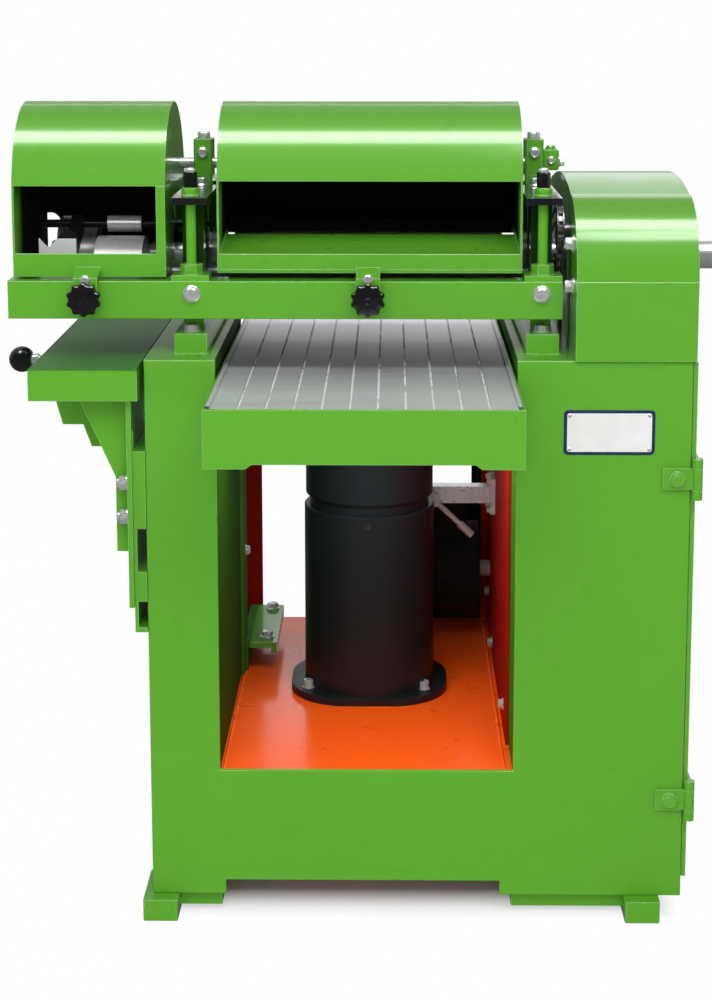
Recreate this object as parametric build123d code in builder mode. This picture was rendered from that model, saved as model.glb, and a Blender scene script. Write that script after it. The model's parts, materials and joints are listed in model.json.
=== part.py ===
from build123d import *
import os
from math import asin, cos, degrees, radians, sin, sqrt

# Planer moulder: a floor machine with a thicknessing table under a planer
# cutter block and, on its left, a small moulder table under a profile cutter
# on the same spindle.
# Frame: X = 0 is the centre line of the planing table (+X is the drive side),
# Y = 0 the middle of its length (-Y is the infeed side), Z = 0 the floor.
# All sizes are in millimetres.

# Fits
run_gap = 0.05
slide_gap = 0.3
hole_gap = 0.5

# Welded base
base_depth = 700
base_front = 280
base_plate = 6
plate_round = 2
opening_width = 422
left_column_width = 100
left_column_depth = 465
cabinet_width = 245
column_top = 822
foot_height = 32
left_leg_width = 107
right_leg_width = 263
apron_rise = 21
pan_top = 221
pan_sheet = 4
pan_flange = 40
upright_top = 690
upright_web = 60
upright_flange = 16
upright_overlap = 19
upright_sheet = 5
side_panel_depth = 600
foot_width = 50
foot_depth = 100
foot_reach = 22
left_foot_overhang = 12
right_foot_inset = 32
sole_drop = 22
sole_setback = 12

# Cabinet door
door_sheet = 6
door_gap = 1
door_bottom = 61
door_rim = 25
door_rib_depth = 14
door_rib_width = 40
hinge_upper_height = 655
hinge_lower_height = 181
hinge_leaf_width = 41
hinge_leaf_height = 31
hinge_leaf = 5
hinge_barrel_radius = 7.5
hinge_barrel_height = 59
hinge_pin_radius = 4
hinge_strap = 4
hinge_strap_reach = 60
hinge_axis_x = 8
handle_length = 130
handle_reach = 32
handle_bar = 14

# Lifting column and ram
column_radius = 103.7
column_height = 304
column_inset = 335
column_flange_length = 250
column_flange_width = 218
column_flange_corner_radius = 90
column_flange_thickness = 12
column_floor = 18
ram_radius = 95
ram_bore = 80
ram_bottom = 300
ram_floor = 30
ram_sleeve_radius = 101.4
ram_sleeve_bottom = 543
ram_head = 14
screw_radius = 18
screw_collar_radius = 26
screw_collar = 16
screw_journal_radius = 12
screw_length = 281
nut_radius = 30
nut_flange_radius = 42
nut_flange = 8
stay_height = 28
stay_thickness = 25
stay_level = 499
stay_offset = 85
stay_pad = 8
stay_pad_height = 60
lever_x = 104
lever_rise = 8
lever_hub_radius = 12
lever_hub = 14
lever_rod_radius = 4.5
lever_rod_length = 88
lever_tilt = 43
lever_grip_radius = 6.5
lever_grip_length = 28

# Guide rail on the left inner wall
rail_offset = 30
rail_depth = 70
rail_width = 6
rail_foot_width = 58
rail_foot_setback = 20
rail_foot_depth = 200
rail_foot_height = 50
rail_foot_plate = 10
rail_foot_lip = 8

# Thickness table
table_width = 414
table_length = 1030
table_top = 802
table_height = 72
table_wall = 12
table_rim = 5
table_side_rim = 4
plate_thickness = 12
plate_pitch = 36
plate_strips = 11
groove_width = 3
groove_depth = 3
lip_width = 5
lip_height = 4
leg_width = 55
leg_drop = 6
leg_slope = 8
bed_rib = 10
bed_rib_pitch = 150

# Head: bar, side frames, rods and straps
bar_size = 50
bar_height = 54
bar_bottom = 873
bar_left = 507
bar_right = 276
bar_front = 236
bar_round = 2
frame_center = 249
frame_thickness = 30
frame_height = 213
frame_rear_y = 140
frame_foot_width = 46
frame_foot_height = 30
frame_foot_rear_y = 180
frame_round = 3
slot_width = 60
slot_floor = 35
bearing_radius = 42.5
bearing_width = 30
block_height = 70
strap_width = 50
strap_thickness = 10
strap_rear_y = 40
rear_strap_front = 25
rod_radius = 7.3
rod_flange = 53
rod_flange_thickness = 8
rod_collar_flats = 28
rod_collar = 14
stud_washer_radius = 13
stud_nut_flats = 24
stud_nut = 10
stud_flats = 17
stud_top = 28
bolt_flats = 19
bolt_head = 10
bolt_washer_radius = 12
bolt_washer = 2.5
bar_bolt_x = 247
bar_bolt_level = 909

# Spindle, cutters and rollers
spindle_y = -22
spindle_level = 938
spindle_left = 478
spindle_right = 530
spindle_body_radius = 25
spindle_journal_radius = 22.5
spindle_left_radius = 17.5
arbor_radius = 21
arbor_length = 68
spindle_nut_flats = 40
cutter_radius = 50
cutter_length = 400
knife_count = 3
knife_thickness = 3.2
knife_depth = 24
knife_proud = 7
moulder_head_left = 464
moulder_head_width = 56
moulder_head_radius = 44
moulder_profile = 14
moulder_gullets = 4
moulder_gullet_radius = 13
roller_radius = 40
roller_length = 400
roller_level = 920
infeed_y = -125
outfeed_y = 79
roller_journal_radius = 15
roller_stub = 15
moulder_roller_radius = 58
moulder_roller_right = 325
moulder_roller_width = 69
moulder_shaft_left = 402

# Chip deflector behind the cutter block, its cowl and the moulder back plate
deflector_y = 55
deflector_bottom = 962
deflector_top = 1030
deflector_sheet = 6
deflector_wing = 32
cowl_sheet = 3
cowl_clearance = 2
cowl_width = 414
cowl_front = -81.5
cowl_lip = 19
back_plate_left = 503
back_plate_bottom = 885
back_plate_notch = 32
back_plate_notch_left = 511
back_plate_notch_top = 993
brow_top = 1044
brow_half = 220

# Pressure shaft and shoe in the moulder hood
pressure_y = -90
pressure_level = 992
pressure_rod_radius = 6
pressure_rod_left = 480
pressure_sleeve_radius = 12
pressure_sleeve_right = 334
pressure_sleeve_width = 50
shoe_left = 475
shoe_width = 54
shoe_thickness = 6
shoe_y = -160
shoe_bottom = 884
shoe_arm_width = 16
shoe_arm_hub_radius = 13
shoe_tooth = 14

# Hoods
hood_front = 215
hood_radius = 132
hood_center_level = 1040
hood_sheet = 3
main_hood_bottom = 936
moulder_hood_bottom = 930
hood_rail_top = 963
hood_rail_lip = 15
main_hood_edge = 1066
moulder_hood_edge = 1059
hood_rear_edge = 1034
hood_pivot_y = -5
hood_pivot_level = 1075
hood_pivot_radius = 8
hood_arch_radius = 105
main_hood_width = 432
main_hood_offset = 4
moulder_hood_left = 502
moulder_hood_width = 217
shelf_rear_y = -92
shelf_rise = 14
cheek_notch_y = -146
cheek_notch_rise = 13
main_cheek_arch_y = -60
moulder_cheek_arch_y = -104
cheek_window_y = -82
cheek_window_width = 44
cheek_window_bottom = 1048
cheek_window_height = 52
jamb_width = 13
tab_width = 34
tab_sheet = 8
tab_gap = 6
tab_bottom = 886
tab_top = 944
pivot_block_width = 28
pivot_block_depth = 45
pivot_block_height = 77
pivot_pin_left = 512
pivot_pin_inner = 208
knob_radius = 24.5
knob_scallops = 10
knob_scallop_radius = 7
knob_scallop_depth = 3
knob_thickness = 16
knob_hub_radius = 11
knob_hub = 8
knob_stud_radius = 5
knob_level = 905
main_knob_x = 2
moulder_knob_x = -395

# Belt guard
guard_left = 291
guard_width = 169
guard_front = 285
guard_depth = 526
guard_height = 223
guard_radius = 112
guard_crown = 17
guard_sheet = 3
guard_left_slot = 80
guard_right_slot = 56

# Drive
pulley_left = 305
pulley_width = 50
spindle_pulley_radius = 40
motor_pulley_radius = 50
belt_pitch = 22
belt_width = 13
belt_depth = 9
motor_inset = 90
motor_rise = 120
motor_radius = 78
motor_left = 85
motor_right = 186
motor_fin = 5
motor_fin_count = 12
motor_fin_width = 3
motor_bell = 22
motor_bracket_left = 70
motor_bracket_width = 90
motor_bracket_height = 90
motor_plate_left = 60
motor_plate_top = 450
motor_plate_drop = 24
motor_plate_sheet = 6
motor_plate_ear = 33
motor_plate_ear_top = 512
motor_box_length = 70
motor_box_width = 80
motor_box_height = 60
motor_shaft_radius = 14
wall_hole_radius = 32
sprocket_left = 273
sprocket_width = 6
sprocket_pitch_radius = 31
sprocket_teeth = 14
sprocket_roller_radius = 4
sprocket_tip = 2.5
chain_height = 10
chain_plate = 1.8
chain_pin_radius = 2.5
chain_pins = 6
feed_drive_y = -160
feed_drive_level = 990
gear_case_size = 88
gear_case_left = 300
gear_case_width = 84
feed_motor_radius = 48
feed_shaft_radius = 11

# Moulder table
side_table_left = 470
side_table_right = 318
side_table_front = 300
side_table_length = 450
side_table_top = 811.5
side_table_height = 44
side_table_wall = 10
side_strip_width = 6
side_strip_height = 3
knee_plate = 7
knee_plate_front = 286
knee_plate_rear = 60
knee_bottom = 465
gusset_thickness = 12
gusset_y = -260
gusset_reach = 72
gusset_strip = 19.5
gusset_bottom = 541
gusset_bend = 650
rear_gusset_y = -150
rear_gusset_reach = 130
rear_gusset_slope = 18
rear_gusset_drop = 66
rear_gusset_step = 48
rear_gusset_foot_slope = 12
rear_gusset_foot = 99
slide_bolt_y = -273
slide_bolt_high = 645
slide_bolt_low = 596
slide_slot = 14
slide_stud_end = 4
side_travel_up = 44
side_travel_down = 60
slide_width = 18
slide_front = 282
slide_rear = 80
slide_bottom = 428
slide_top = 692
slide_wall = 5
slide_window_low = 435
slide_window_low_top = 473
slide_window_high = 517
slide_window_high_top = 580
ball_radius = 19
ball_x = 503.5
ball_y = -161
ball_level = 801
ball_rod_radius = 6
ball_rod_seat = 10

# Places worked out from the sizes above
front_y = -base_front
rear_y = front_y + base_depth
column_y = rear_y - column_inset
stay_y = column_y + stay_offset
rail_y = column_y + rail_offset
motor_y = rear_y - motor_inset
opening_half = opening_width / 2
left_edge = -opening_half - left_column_width
right_edge = opening_half + cabinet_width
wall_height = column_top - foot_height
column_rim = pan_top + column_height
bed_floor = table_top - plate_thickness
bed_bottom = table_top - table_height
bed_web = bed_floor - table_wall
bar_top = bar_bottom + bar_height
bar_rear = -bar_front + bar_size
frame_half = frame_thickness / 2
frame_top = column_top + frame_height
foot_top = column_top + frame_foot_height
strap_top = frame_top + strap_thickness
rod_y = -bar_front + bar_size / 2
hood_center_y = -hood_front + hood_radius
hood_rear = hood_center_y + hood_radius
main_left = main_hood_offset - main_hood_width / 2
main_right = main_hood_offset + main_hood_width / 2
moulder_hood_right = -moulder_hood_left + moulder_hood_width
pivot_block_top = frame_top + pivot_block_height
motor_level = pan_top + motor_rise
pulley_right = pulley_left + pulley_width
arbor_shoulder = spindle_right - arbor_length
hinge_x = right_edge + hinge_axis_x
hinge_y = front_y - hinge_leaf
tab_front = -bar_front - tab_gap - tab_sheet
slide_left = left_edge - slide_width
knee_left = slide_left - slide_gap - knee_plate
side_table_bottom = side_table_top - side_table_height
lever_level = stay_level + lever_rise


def facing(y):
    """A plane square to the infeed direction: local x is X, local y is Z, facing -Y."""
    return Plane.XZ.offset(-y)


def turned(y, level, steps):
    """Coaxial cylinders along X; each step is (start, end, radius)."""
    for start, end, radius in steps:
        with BuildSketch(Plane.YZ.offset(start)) as outline:
            with Locations((y, level)):
                Circle(radius)
        extrude(outline.sketch, amount=end - start)


def upright(x, y, steps):
    """Coaxial cylinders along Z; each step is (bottom, top, radius)."""
    for bottom, top, radius in steps:
        with BuildSketch(Plane.XY.offset(bottom)) as outline:
            with Locations((x, y)):
                Circle(radius)
        extrude(outline.sketch, amount=top - bottom)


def cut_upright(x, y, steps):
    """Removes coaxial cylinders along Z; each step is (bottom, top, radius)."""
    for bottom, top, radius in steps:
        with BuildSketch(Plane.XY.offset(bottom)) as outline:
            with Locations((x, y)):
                Circle(radius)
        extrude(outline.sketch, amount=top - bottom, mode=Mode.SUBTRACT)


def block(x, y, z):
    """A square-edged block between the given pairs of coordinates."""
    with BuildSketch(Plane.XY.offset(z[0])) as outline:
        with Locations(((x[0] + x[1]) / 2, (y[0] + y[1]) / 2)):
            Rectangle(x[1] - x[0], y[1] - y[0])
    extrude(outline.sketch, amount=z[1] - z[0])


def cut_block(x, y, z):
    """Removes a square-edged block between the given pairs of coordinates."""
    with BuildSketch(Plane.XY.offset(z[0])) as outline:
        with Locations(((x[0] + x[1]) / 2, (y[0] + y[1]) / 2)):
            Rectangle(x[1] - x[0], y[1] - y[0])
    extrude(outline.sketch, amount=z[1] - z[0], mode=Mode.SUBTRACT)


def cut_across(y, level, radius, start, end):
    """Removes a round hole along X between two X values."""
    with BuildSketch(Plane.YZ.offset(start)) as outline:
        with Locations((y, level)):
            Circle(radius)
    extrude(outline.sketch, amount=end - start, mode=Mode.SUBTRACT)


# Front plate: one cut sheet with the table opening and the raised middle
# bottom edge
with BuildPart() as front_plate:
    with BuildSketch(facing(front_y)):
        with BuildLine():
            Polyline(
                (left_edge, foot_height),
                (left_edge, column_top),
                (-opening_half, column_top),
                (-opening_half, pan_top),
                (opening_half, pan_top),
                (opening_half, column_top),
                (right_edge, column_top),
                (right_edge, foot_height),
                (right_edge - right_leg_width, foot_height),
                (right_edge - right_leg_width, foot_height + apron_rise),
                (left_edge + left_leg_width, foot_height + apron_rise),
                (left_edge + left_leg_width, foot_height),
                close=True,
            )
        make_face()
    extrude(amount=-base_plate)
    fillet(front_plate.faces().sort_by(Axis.Y)[0].edges(), plate_round)

# Left column: a folded box, open towards the front plate and the floor, with
# a low arm that runs back to the rear foot
with BuildPart() as left_column:
    with BuildSketch(Plane.YZ.offset(left_edge)):
        with BuildLine():
            Polyline(
                (front_y + base_plate, foot_height),
                (front_y + base_plate, column_top),
                (front_y + left_column_depth, column_top),
                (front_y + left_column_depth, pan_top),
                (rear_y, pan_top),
                (rear_y, foot_height),
                close=True,
            )
        make_face()
    extrude(amount=left_column_width)
    column_faces = left_column.faces()
    offset(
        amount=-base_plate,
        openings=[column_faces.sort_by(Axis.Y)[0], column_faces.sort_by(Axis.Z)[0]],
    )

# Drive cabinet: a folded box, open to the front plate, with a rimmed door
# opening, a belt slot in its top and a hole for the motor shaft
with BuildPart() as cabinet_shell:
    block(
        (opening_half, right_edge),
        (front_y + base_plate, rear_y),
        (foot_height, column_top),
    )
    offset(amount=-base_plate, openings=[cabinet_shell.faces().sort_by(Axis.Y)[0]])
    cut_block(
        (right_edge - base_plate, right_edge),
        (front_y + base_plate, rear_y - door_rim),
        (foot_height + door_rim, column_top - door_rim),
    )
    belt_lean = (column_top - motor_level) / (spindle_level - motor_level)
    belt_slot_y = motor_y + belt_lean * (spindle_y - motor_y)
    belt_slot_reach = motor_pulley_radius + belt_depth + door_rim
    cut_block(
        (pulley_left, pulley_right),
        (belt_slot_y - belt_slot_reach, belt_slot_y + belt_slot_reach),
        (column_top - base_plate, column_top),
    )
    cut_across(motor_y, motor_level, wall_hole_radius, opening_half, opening_half + base_plate)

# Floor pan: sheet with stiffening flanges turned down at front and rear
with BuildPart() as floor_pan:
    with BuildSketch(Plane.YZ.offset(-opening_half)):
        with BuildLine():
            Polyline(
                (front_y + base_plate, pan_top - pan_flange),
                (front_y + base_plate, pan_top),
                (rear_y, pan_top),
                (rear_y, pan_top - pan_flange),
                (rear_y - pan_sheet, pan_top - pan_flange),
                (rear_y - pan_sheet, pan_top - pan_sheet),
                (front_y + base_plate + pan_sheet, pan_top - pan_sheet),
                (front_y + base_plate + pan_sheet, pan_top - pan_flange),
                close=True,
            )
        make_face()
    extrude(amount=opening_width)
    with Locations((0, column_y, pan_top)):
        Hole(screw_journal_radius + hole_gap)

# Rear uprights: an angle post in the left rear corner; on the right the post's
# web runs forward as a panel along the cabinet, with a hole for the motor shaft
with BuildPart() as rear_uprights:
    with BuildSketch(Plane.XY.offset(pan_top)):
        with BuildLine():
            Polyline(
                (-opening_half - upright_overlap, rear_y),
                (-opening_half + upright_flange, rear_y),
                (-opening_half + upright_flange, rear_y - upright_sheet),
                (-opening_half - upright_overlap + upright_sheet, rear_y - upright_sheet),
                (-opening_half - upright_overlap + upright_sheet, rear_y - upright_web),
                (-opening_half - upright_overlap, rear_y - upright_web),
                close=True,
            )
        make_face()
        with BuildLine():
            Polyline(
                (opening_half, rear_y),
                (opening_half - upright_flange, rear_y),
                (opening_half - upright_flange, rear_y - upright_sheet),
                (opening_half - upright_sheet, rear_y - upright_sheet),
                (opening_half - upright_sheet, rear_y - side_panel_depth),
                (opening_half, rear_y - side_panel_depth),
                close=True,
            )
        make_face()
    extrude(amount=upright_top - pan_top)
    cut_across(motor_y, motor_level, wall_hole_radius, opening_half - upright_sheet, opening_half)

# Feet and soles under the two legs
left_foot_x = left_edge - left_foot_overhang + foot_width / 2
right_foot_x = right_edge - right_foot_inset - foot_width / 2
foot_y = front_y - foot_reach + foot_depth / 2
rear_foot_y = rear_y + foot_reach - foot_depth / 2
with BuildPart() as feet:
    with BuildSketch():
        with Locations(
            (left_foot_x, foot_y),
            (right_foot_x, foot_y),
            (left_foot_x, rear_foot_y),
            (right_foot_x, rear_foot_y),
        ):
            Rectangle(foot_width, foot_depth)
    extrude(amount=foot_height)
    chamfer(feet.edges().filter_by(Axis.Z), plate_round)
with BuildPart() as sole_bars:
    block(
        (left_foot_x + foot_width / 2, -opening_half),
        (front_y + sole_setback, rear_y - sole_setback),
        (foot_height - sole_drop, foot_height),
    )
    block(
        (opening_half, right_foot_x - foot_width / 2),
        (front_y + sole_setback, rear_y - sole_setback),
        (foot_height - sole_drop, foot_height),
    )

# Hinges: leaf and middle knuckle on the front plate with the pin fixed in
# them; the outer knuckles and the strap belong to the door
hinge_levels = (hinge_upper_height, hinge_lower_height)
knuckle_half = hinge_leaf_height / 2
barrel_half = hinge_barrel_height / 2
with BuildPart() as hinge_leaves:
    for level in hinge_levels:
        block(
            (hinge_x - hinge_barrel_radius - hinge_leaf_width, hinge_x),
            (hinge_y, front_y),
            (level - knuckle_half, level + knuckle_half),
        )
        upright(hinge_x, hinge_y, [(level - knuckle_half, level + knuckle_half, hinge_barrel_radius)])
        upright(hinge_x, hinge_y, [(level - barrel_half, level + barrel_half, hinge_pin_radius)])

# Cabinet door: sheet with two pressed stiffening ribs inside
door_inner = right_edge + door_gap
door_outer = door_inner + door_sheet
with BuildPart() as cabinet_door:
    block(
        (door_inner, door_outer),
        (hinge_y + hinge_barrel_radius + door_gap, rear_y - plate_round),
        (door_bottom, column_top - plate_round),
    )
    for level in hinge_levels:
        block(
            (door_outer, door_outer + hinge_strap),
            (hinge_y + hinge_barrel_radius + plate_round, front_y + hinge_strap_reach),
            (level - barrel_half, level + barrel_half),
        )
        for low, high in (
            (level - barrel_half, level - knuckle_half - slide_gap),
            (level + knuckle_half + slide_gap, level + barrel_half),
        ):
            upright(hinge_x, hinge_y, [(low, high, hinge_barrel_radius)])
            block(
                (door_outer, door_outer + hinge_strap),
                (hinge_y, hinge_y + hinge_barrel_radius + plate_round),
                (low, high),
            )
        with BuildSketch(Plane.XY.offset(level - barrel_half)):
            with Locations((hinge_x, hinge_y)):
                Circle(hinge_pin_radius + run_gap)
        extrude(amount=hinge_barrel_height, mode=Mode.SUBTRACT)
    for level in (door_bottom + wall_height / 3, door_bottom + wall_height * 2 / 3):
        block(
            (door_inner - door_rib_depth, door_inner),
            (front_y + door_rim * 2, rear_y - door_rim * 2),
            (level - door_rib_width / 2, level + door_rib_width / 2),
        )
handle_y = rear_y - door_rim * 2
handle_low = column_top / 2
with BuildPart() as door_handle:
    with BuildSketch(facing(handle_y + handle_bar / 2)):
        with BuildLine():
            Polyline(
                (door_outer, handle_low),
                (door_outer + handle_reach, handle_low),
                (door_outer + handle_reach, handle_low + handle_length),
                (door_outer, handle_low + handle_length),
                (door_outer, handle_low + handle_length - handle_bar),
                (door_outer + handle_reach - handle_bar, handle_low + handle_length - handle_bar),
                (door_outer + handle_reach - handle_bar, handle_low + handle_bar),
                (door_outer, handle_low + handle_bar),
                close=True,
            )
        make_face()
    extrude(amount=handle_bar)
    fillet(door_handle.edges().filter_by(Axis.Y), handle_bar / 4)

# Lifting column: flanged cylinder with a blind bore for the ram
with BuildPart() as lift_column:
    with BuildSketch(Plane.XY.offset(pan_top)):
        with Locations((0, column_y)):
            RectangleRounded(column_flange_length, column_flange_width, column_flange_corner_radius)
    extrude(amount=column_flange_thickness)
    upright(0, column_y, [(pan_top, column_rim, column_radius)])
    chamfer(lift_column.edges().sort_by(Axis.Z)[-1], plate_round)
    bore_floor = pan_top + column_floor
    cut_upright(0, column_y, [(bore_floor, column_rim, ram_radius + run_gap)])
    cut_upright(0, column_y, [(pan_top, bore_floor, screw_journal_radius + run_gap)])

# Ram: hollow tube that carries the table, with a wider sleeve at its top
sleeve_top = bed_web
nut_top = ram_bottom + ram_floor
with BuildPart() as lift_ram:
    upright(0, column_y, [(ram_bottom, sleeve_top, ram_radius)])
    upright(0, column_y, [(ram_sleeve_bottom, sleeve_top, ram_sleeve_radius)])
    cut_upright(0, column_y, [(nut_top, sleeve_top - ram_head, ram_bore)])
    cut_upright(0, column_y, [(ram_bottom, nut_top, nut_radius)])
with BuildPart() as lift_nut:
    nut_bottom = ram_bottom - nut_flange
    upright(0, column_y, [(nut_bottom, ram_bottom, nut_flange_radius), (ram_bottom, nut_top, nut_radius)])
    cut_upright(0, column_y, [(nut_bottom, nut_top, screw_radius + run_gap)])

# Lifting screw standing on the column's floor
screw_seat = bore_floor + slide_gap
with BuildPart() as lift_screw:
    upright(
        0,
        column_y,
        [
            (pan_top - pan_sheet, screw_seat, screw_journal_radius),
            (screw_seat, screw_seat + screw_collar, screw_collar_radius),
            (screw_seat, screw_seat + screw_length, screw_radius),
        ],
    )
    chamfer(lift_screw.edges().sort_by(Axis.Z)[-1], plate_round)

# Stay bar from the column to the side panel, cut to the column's round
stay_end = opening_half - upright_sheet
stay_middle = stay_level + stay_height / 2
with BuildPart() as column_stay:
    block((0, stay_end), (stay_y, stay_y + stay_thickness), (stay_level, stay_level + stay_height))
    block(
        (stay_end - stay_pad, stay_end),
        (stay_y - stay_thickness / 2, stay_y + stay_thickness * 3 / 2),
        (stay_middle - stay_pad_height / 2, stay_middle + stay_pad_height / 2),
    )
    cut_upright(0, column_y, [(stay_level, stay_level + stay_height, column_radius)])
    cut_block(
        (0, column_radius / 2),
        (stay_y, stay_y + stay_thickness),
        (stay_level, stay_level + stay_height),
    )
    with BuildSketch(facing(stay_y)):
        with Locations((lever_x, lever_level)):
            Circle(lever_rod_radius + run_gap)
    extrude(amount=-stay_thickness, mode=Mode.SUBTRACT)

# Clamp lever: hub and screw on the stay, sloping rod with a grip
lever_end = Vector(cos(radians(lever_tilt)), 0, -sin(radians(lever_tilt)))
lever_origin = Vector(lever_x, stay_y - slide_gap - lever_hub / 2, lever_level)
with BuildPart() as clamp_lever:
    with BuildSketch(facing(stay_y - slide_gap)):
        with Locations((lever_x, lever_level)):
            Circle(lever_hub_radius)
    extrude(amount=lever_hub)
    with BuildSketch(facing(stay_y - slide_gap)):
        with Locations((lever_x, lever_level)):
            Circle(lever_rod_radius)
    extrude(amount=-stay_thickness - slide_gap)
    with BuildSketch(Plane(lever_origin, z_dir=lever_end)):
        Circle(lever_rod_radius)
    extrude(amount=lever_rod_length)
    grip_origin = lever_origin + lever_end * (lever_rod_length - lever_grip_length)
    with BuildSketch(Plane(grip_origin, z_dir=lever_end)):
        Circle(lever_grip_radius)
    extrude(amount=lever_grip_length)

# Guide rail on the left inner wall, with its foot bracket on the floor pan
with BuildPart() as guide_rail:
    foot_rail_top = pan_top + rail_foot_height
    foot_rail_under = foot_rail_top - rail_foot_plate
    foot_rail_edge = -opening_half + rail_foot_width
    with BuildSketch(facing(rail_y + rail_foot_setback)):
        with BuildLine():
            Polyline(
                (-opening_half, pan_top),
                (-opening_half, foot_rail_top),
                (foot_rail_edge, foot_rail_top),
                (foot_rail_edge, foot_rail_under - rail_foot_lip),
                (foot_rail_edge - rail_foot_plate, foot_rail_under - rail_foot_lip),
                (foot_rail_edge - rail_foot_plate, foot_rail_under),
                (-opening_half + rail_foot_plate, foot_rail_under),
                (-opening_half + rail_foot_plate, pan_top),
                close=True,
            )
        make_face()
    extrude(amount=-rail_foot_depth)
    block(
        (-opening_half, -opening_half + rail_width),
        (rail_y, rail_y + rail_depth),
        (pan_top, upright_top),
    )

# Table bed: casting with aprons, a pocket for the plate and ribs below
table_half = table_width / 2
length_half = table_length / 2
with BuildPart() as table_bed:
    block((-table_half, table_half), (-length_half, length_half), (bed_bottom, table_top))
    cut_block(
        (-table_half + table_side_rim, table_half - table_side_rim),
        (-length_half + table_rim, length_half - table_rim),
        (bed_floor, table_top),
    )
    cut_block(
        (-table_half + table_wall, table_half - table_wall),
        (-length_half + table_wall, length_half - table_wall),
        (bed_bottom, bed_web),
    )
    for row in (-3, -2, -1, 1, 2):
        rib_y = column_y + row * bed_rib_pitch
        block(
            (-table_half + table_wall, table_half - table_wall),
            (rib_y - bed_rib / 2, rib_y + bed_rib / 2),
            (bed_bottom, bed_web),
        )
    for end in (-length_half, length_half - table_wall):
        with BuildSketch(facing(end)):
            with BuildLine():
                Polyline(
                    (-table_half, bed_bottom),
                    (-table_half, bed_bottom - leg_drop),
                    (-table_half + leg_width, bed_bottom - leg_drop),
                    (-table_half + leg_width + leg_slope, bed_bottom),
                    close=True,
                )
            make_face()
            mirror(about=Plane.YZ)
        extrude(amount=-table_wall)

# Table plate: ground steel with lengthwise grooves and a lip along each side
plate_width = table_width - 2 * table_side_rim - 2 * slide_gap
with BuildPart() as table_plate:
    with BuildSketch(facing(-length_half + table_rim + slide_gap)):
        with Locations((0, bed_floor + plate_thickness / 2)):
            Rectangle(plate_width, plate_thickness)
        with Locations(
            (-plate_width / 2 + lip_width / 2, table_top), (plate_width / 2 - lip_width / 2, table_top)
        ):
            Rectangle(lip_width, lip_height * 2)
        with Locations((0, table_top)):
            with GridLocations(plate_pitch, 0, plate_strips - 1, 1):
                Rectangle(groove_width, groove_depth * 2, mode=Mode.SUBTRACT)
    extrude(amount=-(table_length - 2 * table_rim - 2 * slide_gap))

# Cross bar in front of the head
with BuildPart() as cross_bar:
    block((-bar_left, bar_right), (-bar_front, bar_rear), (bar_bottom, bar_top))
    fillet(cross_bar.edges().filter_by(Axis.X), bar_round)


def side_frame(side):
    """Adds one side frame: foot rail, plate with two open slots and the spindle bore."""
    inner = side * frame_center - frame_half
    foot_inner = side * frame_center - frame_foot_width / 2
    foot_outer = foot_inner + frame_foot_width
    block((foot_inner, foot_outer), (-bar_front, frame_foot_rear_y), (column_top, foot_top))
    block((inner, inner + frame_thickness), (bar_rear, frame_rear_y), (foot_top, frame_top))
    for slot_y in (infeed_y, outfeed_y):
        cut_block(
            (inner, inner + frame_thickness),
            (slot_y - slot_width / 2, slot_y + slot_width / 2),
            (roller_level - slot_floor, frame_top),
        )
    cut_across(spindle_y, spindle_level, bearing_radius, inner, inner + frame_thickness)


with BuildPart() as left_frame:
    side_frame(-1)
    frame_outer = -frame_center - frame_half
    cut_across(pressure_y, pressure_level, pressure_rod_radius, frame_outer, frame_outer + frame_thickness)
with BuildPart() as right_frame:
    side_frame(1)

# Ball bearings of the spindle, as plain rings
with BuildPart() as spindle_bearings:
    for side in (-1, 1):
        start = side * frame_center - bearing_width / 2
        turned(spindle_y, spindle_level, [(start, start + bearing_width, bearing_radius)])
        cut_across(spindle_y, spindle_level, spindle_journal_radius + run_gap, start, start + bearing_width)

# Sliding bearing blocks of the feed rollers and the spring cups above them
with BuildPart() as roller_blocks:
    for side in (-1, 1):
        inner = side * frame_center - frame_half
        for y in (infeed_y, outfeed_y):
            block(
                (inner, inner + frame_thickness),
                (y - slot_width / 2 + slide_gap, y + slot_width / 2 - slide_gap),
                (roller_level - slot_floor, roller_level - slot_floor + block_height),
            )
            cut_across(y, roller_level, roller_journal_radius + run_gap, inner, inner + frame_thickness)
with BuildPart() as spring_cups:
    for side in (-1, 1):
        for y in (infeed_y, outfeed_y):
            cup_bottom = roller_level - slot_floor + block_height
            upright(side * frame_center, y, [(cup_bottom, frame_top, frame_half - slide_gap)])

# Tie rods between the bar and the front straps
with BuildPart() as tie_rods:
    for side in (-1, 1):
        with BuildSketch(Plane.XY.offset(bar_top)):
            with Locations((side * frame_center, rod_y)):
                Rectangle(rod_flange, bar_size - 2 * bar_round)
        extrude(amount=rod_flange_thickness)
        with BuildSketch(Plane.XY.offset(bar_top + rod_flange_thickness)):
            with Locations((side * frame_center, rod_y)):
                RegularPolygon(rod_collar_flats / 2, 6, major_radius=False)
        extrude(amount=rod_collar)
        upright(side * frame_center, rod_y, [(bar_top, frame_top, rod_radius)])

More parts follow.
